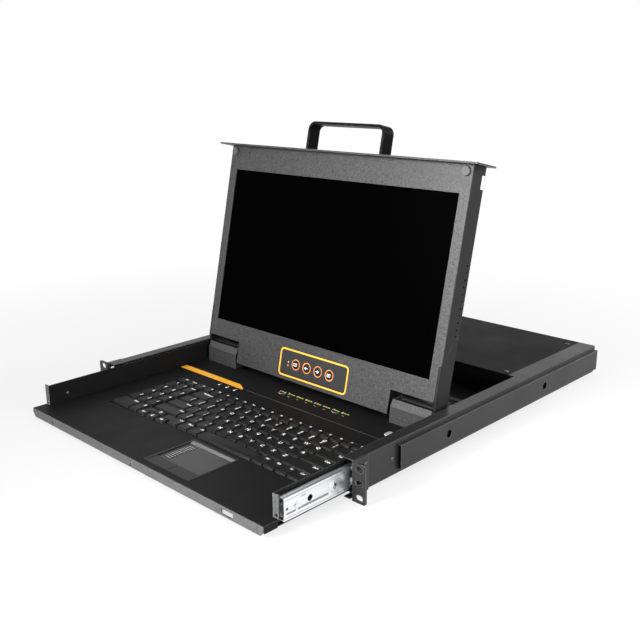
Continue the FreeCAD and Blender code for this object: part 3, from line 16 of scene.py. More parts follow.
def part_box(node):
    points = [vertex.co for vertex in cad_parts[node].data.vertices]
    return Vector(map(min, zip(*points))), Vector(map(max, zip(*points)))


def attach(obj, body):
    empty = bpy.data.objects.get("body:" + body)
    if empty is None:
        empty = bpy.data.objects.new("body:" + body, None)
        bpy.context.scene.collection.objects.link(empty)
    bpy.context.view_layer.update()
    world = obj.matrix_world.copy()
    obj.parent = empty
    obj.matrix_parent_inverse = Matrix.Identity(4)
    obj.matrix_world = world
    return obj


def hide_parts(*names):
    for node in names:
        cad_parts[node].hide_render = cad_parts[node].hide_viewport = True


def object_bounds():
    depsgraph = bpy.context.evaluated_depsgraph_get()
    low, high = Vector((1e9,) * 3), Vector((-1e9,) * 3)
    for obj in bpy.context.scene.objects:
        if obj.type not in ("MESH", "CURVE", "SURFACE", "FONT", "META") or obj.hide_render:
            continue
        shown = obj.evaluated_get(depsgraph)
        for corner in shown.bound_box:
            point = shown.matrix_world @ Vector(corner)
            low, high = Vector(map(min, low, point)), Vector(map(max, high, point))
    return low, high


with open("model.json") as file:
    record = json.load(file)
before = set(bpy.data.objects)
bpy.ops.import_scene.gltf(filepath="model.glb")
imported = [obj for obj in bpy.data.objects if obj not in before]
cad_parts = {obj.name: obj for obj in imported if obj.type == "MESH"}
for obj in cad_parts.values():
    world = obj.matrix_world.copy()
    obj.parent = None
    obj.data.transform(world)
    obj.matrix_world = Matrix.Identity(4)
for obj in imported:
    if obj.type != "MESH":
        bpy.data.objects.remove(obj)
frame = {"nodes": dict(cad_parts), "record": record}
cad_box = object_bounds()
node = frame["nodes"]
joints = {joint["name"]: joint for joint in frame["record"]["behaviour"]["joints"]}

# %% [markdown]
# Sizes on a rack product are written in millimetres, and heights are counted from the
# underside of the chassis floor, as a sheet-metal drawing would. Blender works in metres
# from the row's origin, so one helper does the change. The screen leans on its hinge, so it
# gets a frame of its own: across, up its height, and out of its face.

# %% Millimetres, heights and the screen's own frame
MM = 0.001
EAR_BELOW_FLOOR = 4.65
floor_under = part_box("ear_left")[0][2] + EAR_BELOW_FLOOR * MM
hinge = Vector(joints["lcd_hinge"]["pos_m"])
panel_faces = node["lcd_panel"].data.polygons
front_face = max(panel_faces, key=lambda face: (face.area, -face.center.y))
lean = math.atan2(front_face.normal.z, -front_face.normal.y)
lean = abs(lean) if abs(lean) < 1 else math.pi - abs(lean)
screen_frame = Matrix.Translation(hinge) @ Matrix.Rotation(-lean, 4, "X")


def at(x, y, z):
    """A point in millimetres, with its height above the chassis floor's underside."""
    return Vector((x * MM, y * MM, z * MM + floor_under))


def on_screen(x, up, out):
    """A point across the screen, up its height and out of its face, in millimetres."""
    return screen_frame @ Vector((x * MM, -out * MM, up * MM))


def placed(name, data):
    """A new object, linked into the scene."""
    item = bpy.data.objects.new(name, data)
    bpy.context.scene.collection.objects.link(item)
    return item


print("floor", round(floor_under, 5), "lean", round(math.degrees(lean), 2))

# %% [markdown]
# The camera stands off to the right, a little above the screen's top, and looks down on the
# drawer at about 16 degrees. A matrix whose columns are its right, its up and the way
# behind it places it in one step.

# %% Camera
camera_data = bpy.data.cameras.new("console_camera")
camera_data.lens = 48.04
camera_data.sensor_width = 36.0
camera_data.clip_start = 0.01
camera_data.clip_end = 40
camera = placed("console_camera", camera_data)
right = Vector((0.7196, 0.6944, -0.0058)).normalized()
ahead = Vector((-0.6682, 0.6902, -0.2779)).normalized()
ahead = (ahead - right * ahead.dot(right)).normalized()
upward = right.cross(ahead).normalized()
turn = Matrix((right, upward, -ahead)).transposed().to_4x4()
stand = at(747.1, -586.6, 414.9)
camera.matrix_world = Matrix.Translation(stand) @ turn
bpy.context.scene.camera = camera
print("camera at", [round(v, 3) for v in camera.location])

# %% [markdown]
# Every finish starts the same way: a principled shader, a texture laid out in metres so its
# grain has a real size, a ramp that turns the texture into two close colours, and a bump. A
# bevel node rounds the corners for the light only, which gives folded sheet the thin bright
# line along its edges that paint always shows. On the coats a paler colour along the edges
# adds a painted highlight to that line.

# %% Shared parts of a finish
def add_node(nodes, kind, values=(), operation=None):
    """A shader node with some of its sockets set, from pairs of a socket's name and value."""
    made = nodes.new("ShaderNode" + kind)
    if operation:
        made.operation = operation
    for socket, value in dict(values).items():
        made.inputs[socket].default_value = value
    return made


def new_finish(name):
    material = bpy.data.materials.new(name)
    material.use_nodes = True
    tree = material.node_tree
    return material, tree.nodes, tree.links, tree.nodes["Principled BSDF"]


def grain(nodes, links, scale, detail=3.0, stretch=None):
    """A fine noise whose scale counts its lumps in a metre."""
    noise = add_node(nodes, "TexNoise", {"Scale": scale, "Detail": detail, "Roughness": 0.55})
    source = nodes.new("ShaderNodeTexCoord").outputs["Object"]
    if stretch:
        mapping = add_node(nodes, "Mapping", {"Scale": stretch})
        links.new(source, mapping.inputs["Vector"])
        source = mapping.outputs["Vector"]
    links.new(source, noise.inputs["Vector"])
    return noise.outputs["Fac"]


def ramp(nodes, links, factor, stops):
    """Colours along a texture: stops are (position, colour) pairs."""
    band = nodes.new("ShaderNodeValToRGB")
    elements = band.color_ramp.elements
    while len(elements) < len(stops):
        elements.new(0.5)
    for element, (position, colour) in zip(elements, stops):
        element.position = position
        element.color = (*colour, 1)
    links.new(factor, band.inputs["Fac"])
    return band.outputs["Color"]


def spread(nodes, links, factor, bottom, top):
    """Spread the middle of a texture's range between two values."""
    level = add_node(nodes, "MapRange", {"From Min": 0.3, "From Max": 0.7, "To Min": bottom,
                                         "To Max": top})
    links.new(factor, level.inputs["Value"])
    return level.outputs["Result"]


def soft_corner(nodes, radius):
    """The surface's direction as if every sharp edge were rounded."""
    bevel = add_node(nodes, "Bevel", {"Radius": radius})
    bevel.samples = 6
    return bevel.outputs["Normal"]


def raised(nodes, links, skin, agree, start, full, share):
    """The skin texture, raised by a share as a dot product goes from start to full."""
    amount = add_node(nodes, "MapRange", {"From Min": start, "From Max": full})
    links.new(agree.outputs["Value"], amount.inputs["Value"])
    total = add_node(nodes, "Math", {1: share}, "MULTIPLY_ADD")
    links.new(amount.outputs["Result"], total.inputs[0])
    links.new(skin, total.inputs[2])
    return total.outputs["Value"]


def worn_edge(nodes, links, skin, radius):
    """The skin texture, raised along sharp edges so that a ramp's last colour shows there: a pale
    edge, partly wear and partly a painted highlight.
    """
    plain = nodes.new("ShaderNodeNewGeometry")
    agree = add_node(nodes, "VectorMath", operation="DOT_PRODUCT")
    links.new(soft_corner(nodes, radius), agree.inputs[0])
    links.new(plain.outputs["Normal"], agree.inputs[1])
    return raised(nodes, links, skin, agree, 0.985, 0.86, 0.6)


def rubbed_front(nodes, links, skin, share):
    """The skin texture, raised on faces that look to the front: a painted highlight for the light
    that falls on them.
    """
    facing = nodes.new("ShaderNodeNewGeometry")
    front = add_node(nodes, "VectorMath", {1: (0, -1, 0)}, "DOT_PRODUCT")
    links.new(facing.outputs["Normal"], front.inputs[0])
    return raised(nodes, links, skin, front, 0.7, 0.95, share)


def relief(nodes, links, shader, height, strength, distance, edge=0.0):
    """Bumps from a texture, on corners that are rounded for the light."""
    bump = add_node(nodes, "Bump", {"Strength": strength, "Distance": distance})
    links.new(height, bump.inputs["Height"])
    if edge:
        links.new(soft_corner(nodes, edge), bump.inputs["Normal"])
    links.new(bump.outputs["Normal"], shader.inputs["Normal"])


print("finish helpers ready")

# %% [markdown]
# Powder coat is paint baked from a powder, so it dries with a fine orange-peel skin. Its
# look is a soft sheen broken by tiny bumps, with a slight mottling in the colour. One maker
# serves every coat: the drawer's is nearly black, and the screen's is a coarser crinkle
# with dark specks between paler crests.

# %% Powder coats
def powder_coat(name, stops, wear_and_highlight, roughness, gloss, scale=1500, bump=0.35, edge=0.0006, front=0.0):
    """Stops run from the pits to the crests. The shade given for the edges is paler paint along
    sharp edges, partly wear and partly a painted highlight where they catch the light.
    """
    material, nodes, links, shader = new_finish(name)
    skin = grain(nodes, links, scale)
    cloud = grain(nodes, links, 18, detail=5.0)
    edge_wear_and_lit = worn_edge(nodes, links, skin, edge)
    # Faces that look to the front are painted paler, a painted highlight.
    if front:
        edge_wear_and_lit = rubbed_front(nodes, links, edge_wear_and_lit, front)
    # The last stop is the edge colour, partly wear and partly a painted highlight.
    stops = stops + [(0.8, stops[-1][1]), (1.0, (wear_and_highlight, wear_and_highlight, wear_and_highlight))]
    links.new(ramp(nodes, links, edge_wear_and_lit, stops), shader.inputs["Base Color"])
    sheen = spread(nodes, links, cloud, roughness - 0.05, roughness + 0.06)
    links.new(sheen, shader.inputs["Roughness"])
    shader.inputs["Specular IOR Level"].default_value = gloss
    relief(nodes, links, shader, skin, bump, 0.00012, edge)
    return material


def greys(*pairs):
    """Ramp stops from pairs of a position and a shade, with a trace of blue."""
    return [(position, (shade, shade, shade * 1.02)) for position, shade in pairs]


coat_chassis = powder_coat("chassis_powder_coat", greys((0.35, 0.009), (0.65, 0.02)),
                           wear_and_highlight=0.2, roughness=0.36, gloss=0.28)
# The drawer's coat is painted paler on faces that look to the front, a painted highlight.
coat_drawer = powder_coat("drawer_powder_coat", greys((0.35, 0.006), (0.65, 0.012)),
                          wear_and_highlight=0.14, roughness=0.5, gloss=0.06, front=0.45)
coat_rear = powder_coat("rear_cover_coat", greys((0.35, 0.007), (0.65, 0.012)),
                        wear_and_highlight=0.08, roughness=0.55, gloss=0.05)
coat_screen = powder_coat("screen_crinkle_coat",
                          greys((0.36, 0.002), (0.42, 0.024), (0.55, 0.031), (0.7, 0.055)),
                          wear_and_highlight=0.12, roughness=0.42, gloss=0.4, scale=520, bump=0.9)
# The screen's back shell and arms take a darker coat than the bezel, painted shade for the dark
# sides of the shell.
coat_back_painted_shade = powder_coat("screen_back_coat_painted_shade", greys((0.35, 0.006), (0.65, 0.014)),
                        wear_and_highlight=0.08, roughness=0.42, gloss=0.14)
# The hinge covers' crinkle is painted paler than the screen's, painted light for the light on their
# sloped tops.
coat_cover_painted_light = powder_coat("cover_crinkle_painted_light",
                         greys((0.34, 0.004), (0.4, 0.026), (0.6, 0.04), (0.7, 0.08)),
                         wear_and_highlight=0.14, roughness=0.42, gloss=0.4, scale=600, bump=0.9)
# On the handle the pale edge colour is mostly a painted highlight along the strap's edges.
coat_handle = powder_coat("handle_powder_coat", greys((0.35, 0.003), (0.65, 0.006)),
                          wear_and_highlight=0.5, roughness=0.34, gloss=0.02, bump=0.1, edge=0.0004)
coat_front = powder_coat("front_panel_coat", greys((0.35, 0.02), (0.65, 0.04)),
                         wear_and_highlight=0.2, roughness=0.36, gloss=0.4)
print("coats ready")

# %% [markdown]
# Bare metal pieces are zinc-plated sheet, plain steel and polished balls. Drawn sheet shows
# faint streaks along the way it was rolled, made by a noise stretched along the slide. The
# streaks move the roughness more than the colour, because that is what the eye reads.

# %% Plated and bare metal
EVEN = (1, 1, 1)


def drawn_metal(name, colour, roughness, stretch=(1, 0.02, 1), streak=0.12, edge=0.0004):
    """Bare metal, streaked along the slides unless the stretch is even."""
    material, nodes, links, shader = new_finish(name)
    lines = grain(nodes, links, 900, detail=4.0, stretch=stretch)
    shade = tuple(max(0, c - 0.1) for c in colour)
    tone = ramp(nodes, links, lines, [(0.35, shade), (0.65, colour)])
    links.new(tone, shader.inputs["Base Color"])
    sheen = spread(nodes, links, lines, roughness, roughness + streak)
    links.new(sheen, shader.inputs["Roughness"])
    shader.inputs["Metallic"].default_value = 1.0
    relief(nodes, links, shader, lines, 0.1, 0.00005, edge)
    return material


zinc = drawn_metal("zinc_plated_sheet", (0.86, 0.87, 0.89), 0.26)
cage_metal = drawn_metal("cage_steel", (0.55, 0.55, 0.56), 0.3)
dark_steel = drawn_metal("blackened_steel", (0.07, 0.07, 0.072), 0.35, stretch=EVEN)
screw_metal = drawn_metal("black_oxide_screw", (0.16, 0.16, 0.165), 0.3, stretch=EVEN)
bright_steel = drawn_metal("polished_steel", (0.83, 0.83, 0.83), 0.12, stretch=EVEN, streak=0.05)
bead_shadow = drawn_metal("slide_bead_shadow", (0.30, 0.30, 0.31), 0.4, edge=0.0)
gold = drawn_metal("contact_gold", (0.85, 0.62, 0.25), 0.2, stretch=EVEN, streak=0.05, edge=0.0)
print("metals ready")

# %% [markdown]
# The plastics are moulded: satin key caps with a fine spark-eroded grain, a darker base,
# gloss buttons and rubber bumpers. Printed marks are a thin ink of slightly uneven tone, and
# lamp windows are tinted plastic. Both glow a little, so that they read on black; on the inks
# the glow is painted light, since print gives off none.

# %% Moulded plastic, rubber, ink and lamps
def moulded(name, colour, roughness, scale=2400, bump=0.15, vary=0.25, edge=0.0003, glow=0.0,
            sheen=0.5):
    """A smooth finish whose colour varies by a share, with an optional glow."""
    material, nodes, links, shader = new_finish(name)
    skin = grain(nodes, links, scale, detail=2.0)
    dark = tuple(c * (1 - vary) for c in colour)
    pale = tuple(min(1, c * (1 + vary)) for c in colour)
    tone = ramp(nodes, links, skin, [(0.35, dark), (0.65, pale)])
    links.new(tone, shader.inputs["Base Color"])
    satin = spread(nodes, links, skin, roughness - 0.04, roughness + 0.04)
    links.new(satin, shader.inputs["Roughness"])
    shader.inputs["Specular IOR Level"].default_value = sheen
    if glow:
        shader.inputs["Emission Color"].default_value = (*colour, 1)
        shader.inputs["Emission Strength"].default_value = glow
    relief(nodes, links, shader, skin, bump, 0.00008, edge)
    return material


def ink(name, colour, roughness, **more):
    """A moulded finish without rounded corners, for prints and lamps too thin to have any."""
    return moulded(name, colour, roughness, edge=0.0, **more)


key_plastic = moulded("key_cap_plastic", (0.009, 0.009, 0.0093), 0.42, sheen=0.16)
base_plastic = moulded("key_base_plastic", (0.003, 0.003, 0.003), 0.6, sheen=0.1)
pad_plastic = moulded("touchpad_plastic", (0.04, 0.04, 0.041), 0.36, sheen=0.25)
frame_plastic = moulded("touchpad_frame_plastic", (0.018, 0.018, 0.019), 0.4, sheen=0.15)
# The slope's paler plastic is a painted highlight where the slope tilts toward the light.
slope_painted_highlight = moulded("touchpad_slope_painted_highlight", (0.14, 0.14, 0.143), 0.3, sheen=0.4)
# The ribs' pale plastic is a painted highlight for the light they catch.
rib_painted_highlight = moulded("touchpad_rib_painted_highlight", (0.3, 0.3, 0.3), 0.35)
film_plastic = moulded("control_film_plastic", (0.02, 0.02, 0.021), 0.4, scale=1200, sheen=0.3)
button_gloss = moulded("button_gloss_plastic", (0.01, 0.01, 0.01), 0.2, bump=0.04)
rubber = moulded("bumper_rubber", (0.06, 0.06, 0.06), 0.6, scale=900, bump=0.25)
# A flat dark cross on each screw head is painted shade for its recess.
recess_painted_shade = moulded("recess_painted_shade", (0.02, 0.02, 0.02), 0.6, bump=0.1)
socket_plastic = moulded("socket_plastic", (0.012, 0.012, 0.012), 0.42)
board_lacquer = moulded("board_lacquer", (0.01, 0.10, 0.04), 0.3)
# The inks' glow is painted light: printed marks give off none.
orange_ink_painted_glow = ink("orange_ink_painted_glow", (0.95, 0.44, 0.028), 0.42, bump=0.03, vary=0.05, glow=0.18)
copper_ink_painted_glow = ink("copper_ink_painted_glow", (0.90, 0.30, 0.06), 0.4, bump=0.03, vary=0.06, glow=0.12)
white_ink_painted_glow = ink("white_ink_painted_glow", (0.88, 0.88, 0.88), 0.5, bump=0.02, vary=0.05, glow=0.25)
grey_ink = ink("grey_ink", (0.09, 0.09, 0.09), 0.5, bump=0.02, vary=0.1)
pale_plastic = moulded("pale_plastic", (0.75, 0.76, 0.77), 0.35, vary=0.04)
catch_satin = moulded("catch_satin_metal", (0.42, 0.43, 0.44), 0.35, scale=1800, vary=0.12)
green_lamp = ink("green_lamp_lens", (0.20, 0.72, 0.10), 0.22, bump=0.02, vary=0.06, glow=0.25)
amber_lamp = ink("amber_lamp_lens", (0.95, 0.33, 0.04), 0.22, bump=0.02, vary=0.06, glow=0.25)
print("plastics ready")

# %% [markdown]
# The screen is a dark sheet of glass with an anti-glare skin over black. It should stay the
# deepest black of the whole object, so its own colour is nearly nothing and its gloss is
# weak and a little rough.

# %% Screen glass
glass_black, nodes, links, shader = new_finish("screen_dark_glass")
haze = grain(nodes, links, 3000, detail=1.0)
glass_tone = ramp(nodes, links, haze, greys((0.3, 0.0001), (0.7, 0.0003)))
links.new(glass_tone, shader.inputs["Base Color"])
glass_haze = spread(nodes, links, haze, 0.30, 0.36)
links.new(glass_haze, shader.inputs["Roughness"])
shader.inputs["Specular IOR Level"].default_value = 0.004
relief(nodes, links, shader, haze, 0.03, 0.00002)
print("screen ready")

# %% [markdown]
# Each piece of the model takes its finish by name. One table keeps the choice in sight, and
# anything it leaves out is reported, so no piece keeps the plain import colour.

# %% Dress the pieces
finish = {
    coat_rear: ["rear_cover"],
    coat_chassis: ["chassis_shell", "bay_bulkhead", "ear_left", "ear_right", "side_rail_left",
                   "side_rail_right"],
    coat_drawer: ["drawer_tray", "deck_plate"],
    coat_handle: ["handle"],
    coat_front: ["front_panel"],
    coat_screen: ["lcd_bezel"],
    coat_back_painted_shade: ["lcd_back_shell", "lcd_arm_left", "lcd_arm_right"],
    coat_cover_painted_light: ["hinge_cover_left", "hinge_cover_right"],
    zinc: ["slide_outer_left", "slide_outer_right", "slide_middle_left", "slide_middle_right",
           "slide_inner_left", "slide_inner_right", "power_supply"],
    dark_steel: ["hinge_barrel_left", "hinge_barrel_right", "latch_pin"],
    screw_metal: ["drawer_screws", "chassis_screws"],
    cage_metal: ["cage_outer", "cage_inner"],
    bright_steel: ["balls_outer", "balls_inner", "catch_plate"],
    key_plastic: ["keys_main", "key_enter", "key_space", "keys_function", "keys_pad", "keys_arrow"],
    base_plastic: ["keyboard_base"],
    pad_plastic: ["touchpad_surface"],
    frame_plastic: ["touchpad_frame", "touchpad_button_left", "touchpad_button_right"],
    button_gloss: ["osd_button_1", "osd_button_2", "osd_button_3", "osd_button_4"],
    rubber: ["bumpers"],
    socket_plastic: ["power_inlet", "rocker_frame", "power_rocker", "rear_ports"],
    board_lacquer: ["switch_board", "controller_board"],
    orange_ink_painted_glow: ["osd_trim"],
    amber_lamp: ["osd_lamps", "status_lamps"],
    glass_black: ["lcd_panel"],
}
dressed = set()
for material, names in finish.items():
    for name in names:
        for holder in node[name].material_slots:
            holder.material = material
        dressed.add(name)
print("left plain:", sorted(set(node) - dressed))

# %% [markdown]
# Small shapes are built from rings: closed loops with the same number of points, joined one
# to the next and closed at the ends. Three helpers make the common ones: rounded rectangles
# that shrink as they rise, the same inside a box, and circles round one centre. Two of them
# take a function that lays each point down, on the deck, on the screen or on a slide.

# %% Building with rings
CORNER_STEPS = 4


def rounded(x0, x1, y0, y1, radius):
    """Points round a rectangle with rounded corners."""
    radius = min(radius, (x1 - x0) / 2.01, (y1 - y0) / 2.01)
    centres = ((x1 - radius, y1 - radius), (x0 + radius, y1 - radius),
               (x0 + radius, y0 + radius), (x1 - radius, y0 + radius))
    points = []
    for quarter, (cx, cy) in enumerate(centres):
        for step in range(CORNER_STEPS + 1):
            angle = math.pi / 2 * (quarter + step / CORNER_STEPS)
            points.append((cx + radius * math.cos(angle), cy + radius * math.sin(angle)))
    return points


def circle(cx, cy, radius, count):
    angles = [math.tau * i / count for i in range(count)]
    return [(cx + radius * math.cos(a), cy + radius * math.sin(a)) for a in angles]


def add_rings(mesh, rings, closed_start=True, closed_end=True):
    """Skin over rings of points, each ring a list of vectors."""
    rows = [[mesh.verts.new(point) for point in ring] for ring in rings]
    count = len(rows[0])
    for first, second in zip(rows, rows[1:]):
        for i in range(count):
            j = (i + 1) % count
            mesh.faces.new((first[i], first[j], second[j], second[i]))
    if closed_start:
        mesh.faces.new(list(reversed(rows[0])))
    if closed_end:
        mesh.faces.new(rows[-1])


def in_plan(x, y, z):
    """Millimetres across and back, at a height in metres."""
    return Vector((x * MM, y * MM, z))


def stacked(mesh, x0, x1, y0, y1, radius, levels, lay=lambda *point: Vector(point)):
    """Skin over rounded rectangles: the levels give each one's inset and height."""
    rings = []
    for inset, height in levels:
        outline = rounded(x0 + inset, x1 - inset, y0 + inset, y1 - inset, radius)
        rings.append([lay(x, y, height) for x, y in outline])
    add_rings(mesh, rings)


def lofted(mesh, lo, hi, levels, closed_start=False):
    """Skin over rounded rectangles inside a box's plan. Each level gives the insets at the
    sides, the front and the back and the corner's radius in millimetres, then its height."""
    rings = []
    for side, front, back, corner, z in levels:
        outline = rounded(lo.x + side * MM, hi.x - side * MM, lo.y + front * MM,
                          hi.y - back * MM, corner * MM)
        rings.append([Vector((x, y, z)) for x, y in outline])
    add_rings(mesh, rings, closed_start)


def turned(mesh, cx, cy, profile, count, lay, closed=True):
    """Skin over circles round one centre: the profile gives each one's radius and height."""
    rings = [[lay(x, y, height) for x, y in circle(cx, cy, radius, count)]
             for radius, height in profile]
    add_rings(mesh, rings, closed, closed)


def finished(name, mesh, material, body, angle=0.6, stands_for=()):
    """Turn a built mesh into a piece that rides on one body."""
    bmesh.ops.recalc_face_normals(mesh, faces=mesh.faces[:])
    data = bpy.data.meshes.new(name)
    mesh.to_mesh(data)
    mesh.free()
    data.shade_smooth()
    data.set_sharp_from_angle(angle=angle)
    data.materials.append(material)
    piece = placed(name, data)
    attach(piece, body)
    if stands_for:
        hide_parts(*stands_for)


def loose_boxes(name):
    """The low and high corners of each separate solid in a node."""
    mesh = bmesh.new()
    mesh.from_mesh(node[name].data)
    bmesh.ops.remove_doubles(mesh, verts=mesh.verts[:], dist=1e-6)
    left = set(mesh.verts)
    boxes = []
    while left:
        group = [left.pop()]
        for vert in group:
            for edge in vert.link_edges:
                other = edge.other_vert(vert)
                if other in left:
                    left.remove(other)
                    group.append(other)
        boxes.append((Vector([min(v.co[k] for v in group) for k in range(3)]),
                      Vector([max(v.co[k] for v in group) for k in range(3)])))
    mesh.free()
    return boxes


print("main keys", len(loose_boxes("keys_main")))

# %% [markdown]
# A key cap is a skirt that narrows upward to a rounded top with a shallow dish, where the
# finger rests. Its front slopes more than its back, so a row shows its fronts to the
# typist. Each cap is lofted through seven rings inside its solid's own box. The table gives
# each ring above the foot: three insets, a corner radius and the depth below the top.

# %% Key caps
CAP_RINGS = ((0.55, 0.8, 0.5, 1.2, 2.3), (1.1, 1.9, 1.0, 1.5, 0.7), (1.35, 2.35, 1.25, 1.7, 0.22),
             (1.9, 2.9, 1.8, 1.6, 0.0), (2.7, 3.6, 2.5, 1.5, 0.1575), (4.6, 5.4, 4.2, 1.2, 0.35))
key_bodies = {"keys_main": "main_keys", "key_enter": "enter_key", "key_space": "space_key",
              "keys_function": "function_keys", "keys_pad": "pad_keys", "keys_arrow": "arrow_keys"}
for key_node, key_body in key_bodies.items():
    caps = bmesh.new()
    for lo, hi in loose_boxes(key_node):
        above = [(*shape, hi.z - depth * MM) for *shape, depth in CAP_RINGS]
        lofted(caps, lo, hi, [(0, 0, 0, 0.8, lo.z)] + above)
    finished("caps_" + key_node, caps, key_plastic, key_body, angle=0.9, stands_for=(key_node,))
print("cap groups", len(key_bodies))

# %% [markdown]
# The arrow keys make a T, with a free corner on each side of the up key. A low fixed island
# of the same plastic fills each corner, so the base's deep well doesn't show there.

# %% Islands beside the up key
arrows = sorted(loose_boxes("keys_arrow"), key=lambda pair: pair[0].x)
up_key = max(arrows, key=lambda pair: pair[1].y)
up_lo, up_hi = up_key
lower_keys = [pair for pair in arrows if pair is not up_key]
island_foot, island_top = up_lo.z + 1.5 * MM, up_hi.z - 1.4 * MM
islands = bmesh.new()
for lo, hi in (lower_keys[0], lower_keys[-1]):
    lofted(islands, Vector((lo.x, up_lo.y, 0)), Vector((hi.x, up_hi.y, 0)),
           ((0.3, 0.3, 0.3, 1.2, island_foot), (0.3, 0.3, 0.3, 1.2, island_top - 0.4 * MM),
            (0.8, 0.8, 0.8, 0.9, island_top)))
finished("arrow_key_islands", islands, key_plastic, "drawer")
print("islands beside the up key, of", len(arrows), "arrow keys")

# %% [markdown]
# The legends are plain generic key names in a thin white ink, set near the upper right
# corner of each cap. Text is made as a flat curve, turned into a mesh and laid on the cap.
# The layout here runs from the right, with the number pad at the left, so each row is
# written from its right-hand key.

# %% Lettering
LETTER_THICK = 0.04
LETTER_BOLD = 0.02


def text_mesh(mesh, words, place, size, turn=None, align="CENTER", spacing=1.0):
    """Add flat lettering to a mesh, at a place in metres and with an optional turn."""
    curve = bpy.data.curves.new("words", "FONT")
    curve.body = words
    curve.size = size * MM
    curve.align_x = align
    curve.align_y = "CENTER"
    curve.space_line = spacing
    curve.resolution_u = 2
    curve.offset = LETTER_BOLD * size * MM
    curve.extrude = LETTER_THICK * MM / 2
    holder = placed("words", curve)
    bpy.context.view_layer.update()
    shaped = holder.evaluated_get(bpy.context.evaluated_depsgraph_get())
    flat = bpy.data.meshes.new_from_object(shaped)
    move = Matrix.Translation(place)
    if turn is not None:
        move = move @ turn
    flat.transform(move)
    mesh.from_mesh(flat)
    bpy.data.objects.remove(holder)
    bpy.data.curves.remove(curve)
    bpy.data.meshes.remove(flat)


ARROW_TURN = {"up": 0, "left": 90, "down": 180, "right": 270}
ARROW_OUTLINE = ((0, 1), (-0.8, 0.1), (-0.25, 0.1), (-0.25, -0.9), (0.25, -0.9), (0.25, 0.1),
                 (0.8, 0.1))


def arrow_mark(mesh, place, size, degrees):
    """A small solid arrow: a head on a short stem."""
    move = Matrix.Translation(place) @ Matrix.Rotation(math.radians(degrees), 4, "Z")
    mesh.faces.new([mesh.verts.new(move @ Vector((x * size / 2 * MM, y * size / 2 * MM, 0)))
                    for x, y in ARROW_OUTLINE])


def put_legend(mesh, word, lo, hi, word_size):
    """One key's name, measured from the upper right corner of its cap."""
    z = hi.z - 0.06 * MM
    corner_x, corner_y = hi.x - 2.2 * MM, hi.y - 2.0 * MM
    if word in ARROW_TURN:
        place = Vector(((lo.x + hi.x) / 2, (lo.y + hi.y) / 2 + 0.6 * MM, z))
        arrow_mark(mesh, place, 6.0, ARROW_TURN[word])
    elif len(word) == 1:
        text_mesh(mesh, word, Vector((corner_x - 2.6 * MM, corner_y - 2.3 * MM, z)), 7.0)
    elif len(word) == 2 and not word[0].isalnum():
        place = Vector((corner_x - 2.4 * MM, corner_y - 5.0 * MM, z))
        text_mesh(mesh, "\n".join(word), place, 5.6, spacing=0.95)
    else:
        place = Vector((corner_x + 0.6 * MM, corner_y - 1.7 * MM, z))
        text_mesh(mesh, word, place, word_size, align="RIGHT")


print("lettering ready")

# %% [markdown]
# A row of keys is found by its distance from the back, so the words are only listed in order.

# %% Legends
number_row = "~` !1 @2 #3 $4 %5 ^6 &7 *8 (9 )0 _- +=".split() + ["Backspace"]
upper_row = ["Tab"] + list("QWERTYUIOP") + ["{[", "}]", "|\\"]
home_row = ["Caps"] + list("ASDFGHJKL") + [":;", "\"'"]
lower_row = ["Shift"] + list("ZXCVBNM") + ["<,", ">.", "?/", "Shift"]
bottom_row = ["Ctrl", "Fn", "Sys", "Alt", "Alt", "Menu", "Ctrl"]
function_row = (["Esc"] + ["F%d" % n for n in range(1, 13)]
                + ["Prt", "Scr", "Pau", "Ins", "Del", "Home", "End"])
legend_rows = {
    "keys_main": [number_row, upper_row, home_row, lower_row, bottom_row],
    "key_enter": [["Enter"]],
    "keys_function": [function_row],
    "keys_pad": [["Num", "/", "*"], ["7", "8", "9"], ["4", "5", "6"], ["1", "2", "3"],
                 ["0", "Enter"]],
    "keys_arrow": [["up"], ["right", "down", "left"]],
}
SAME_ROW = 5.0


def in_rows(boxes):
    """Boxes in rows from the back, each row from its right end."""
    rows = []
    for pair in sorted(boxes, key=lambda pair: -(pair[0].y + pair[1].y)):
        middle = (pair[0].y + pair[1].y) / 2
        if rows and abs(rows[-1][0] - middle) < SAME_ROW * MM:
            rows[-1][1].append(pair)
        else:
            rows.append((middle, [pair]))
    return [sorted(row, key=lambda pair: -pair[1].x) for _, row in rows]


for key_node, rows in legend_rows.items():
    letters = bmesh.new()
    word_size = 3.8 if key_node == "keys_function" else 4.4
    for row_boxes, words in zip(in_rows(loose_boxes(key_node)), rows):
        for (lo, hi), word in zip(row_boxes, words):
            put_legend(letters, word, lo, hi, word_size)
    finished("legends_" + key_node, letters, white_ink_painted_glow, key_bodies[key_node])
print("legend groups", len(legend_rows))

# %% [markdown]
# The deck carries a few printed marks: an orange band behind the number pad, a thin line
# running on from it, and a row of port lamps with their digits. The lamps are small tinted
# windows, so they're built as low rounded lozenges that stand for the solid ones.

# %% Printed marks on the deck
deck_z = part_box("status_lamps")[0][2]
INK = 0.05 * MM
BAND_OUTLINE = ((-205, 108.4), (-70, 108.4), (-74, 112.5), (-88, 119.8), (-205, 119.8))
LINE_OUTLINE = ((-66, 110.3), (166, 110.3), (166, 111.1), (-66, 111.1))
for name, outline, material, slot in (
        ("deck_orange_band", BAND_OUTLINE, orange_ink_painted_glow, "orange_print"),
        ("deck_thin_line", LINE_OUTLINE, grey_ink, None)):
    print_mesh = bmesh.new()
    add_rings(print_mesh, [[in_plan(x, y, z) for x, y in outline] for z in (deck_z, deck_z + INK)])
    finished(name, print_mesh, material, "drawer")
print("deck at", round(deck_z, 4))

# %% [markdown]
# The port lamps stand in pairs, amber and green, behind the keyboard's three lock lamps.
# Each window has a thin lip round its solid and a bevelled top.

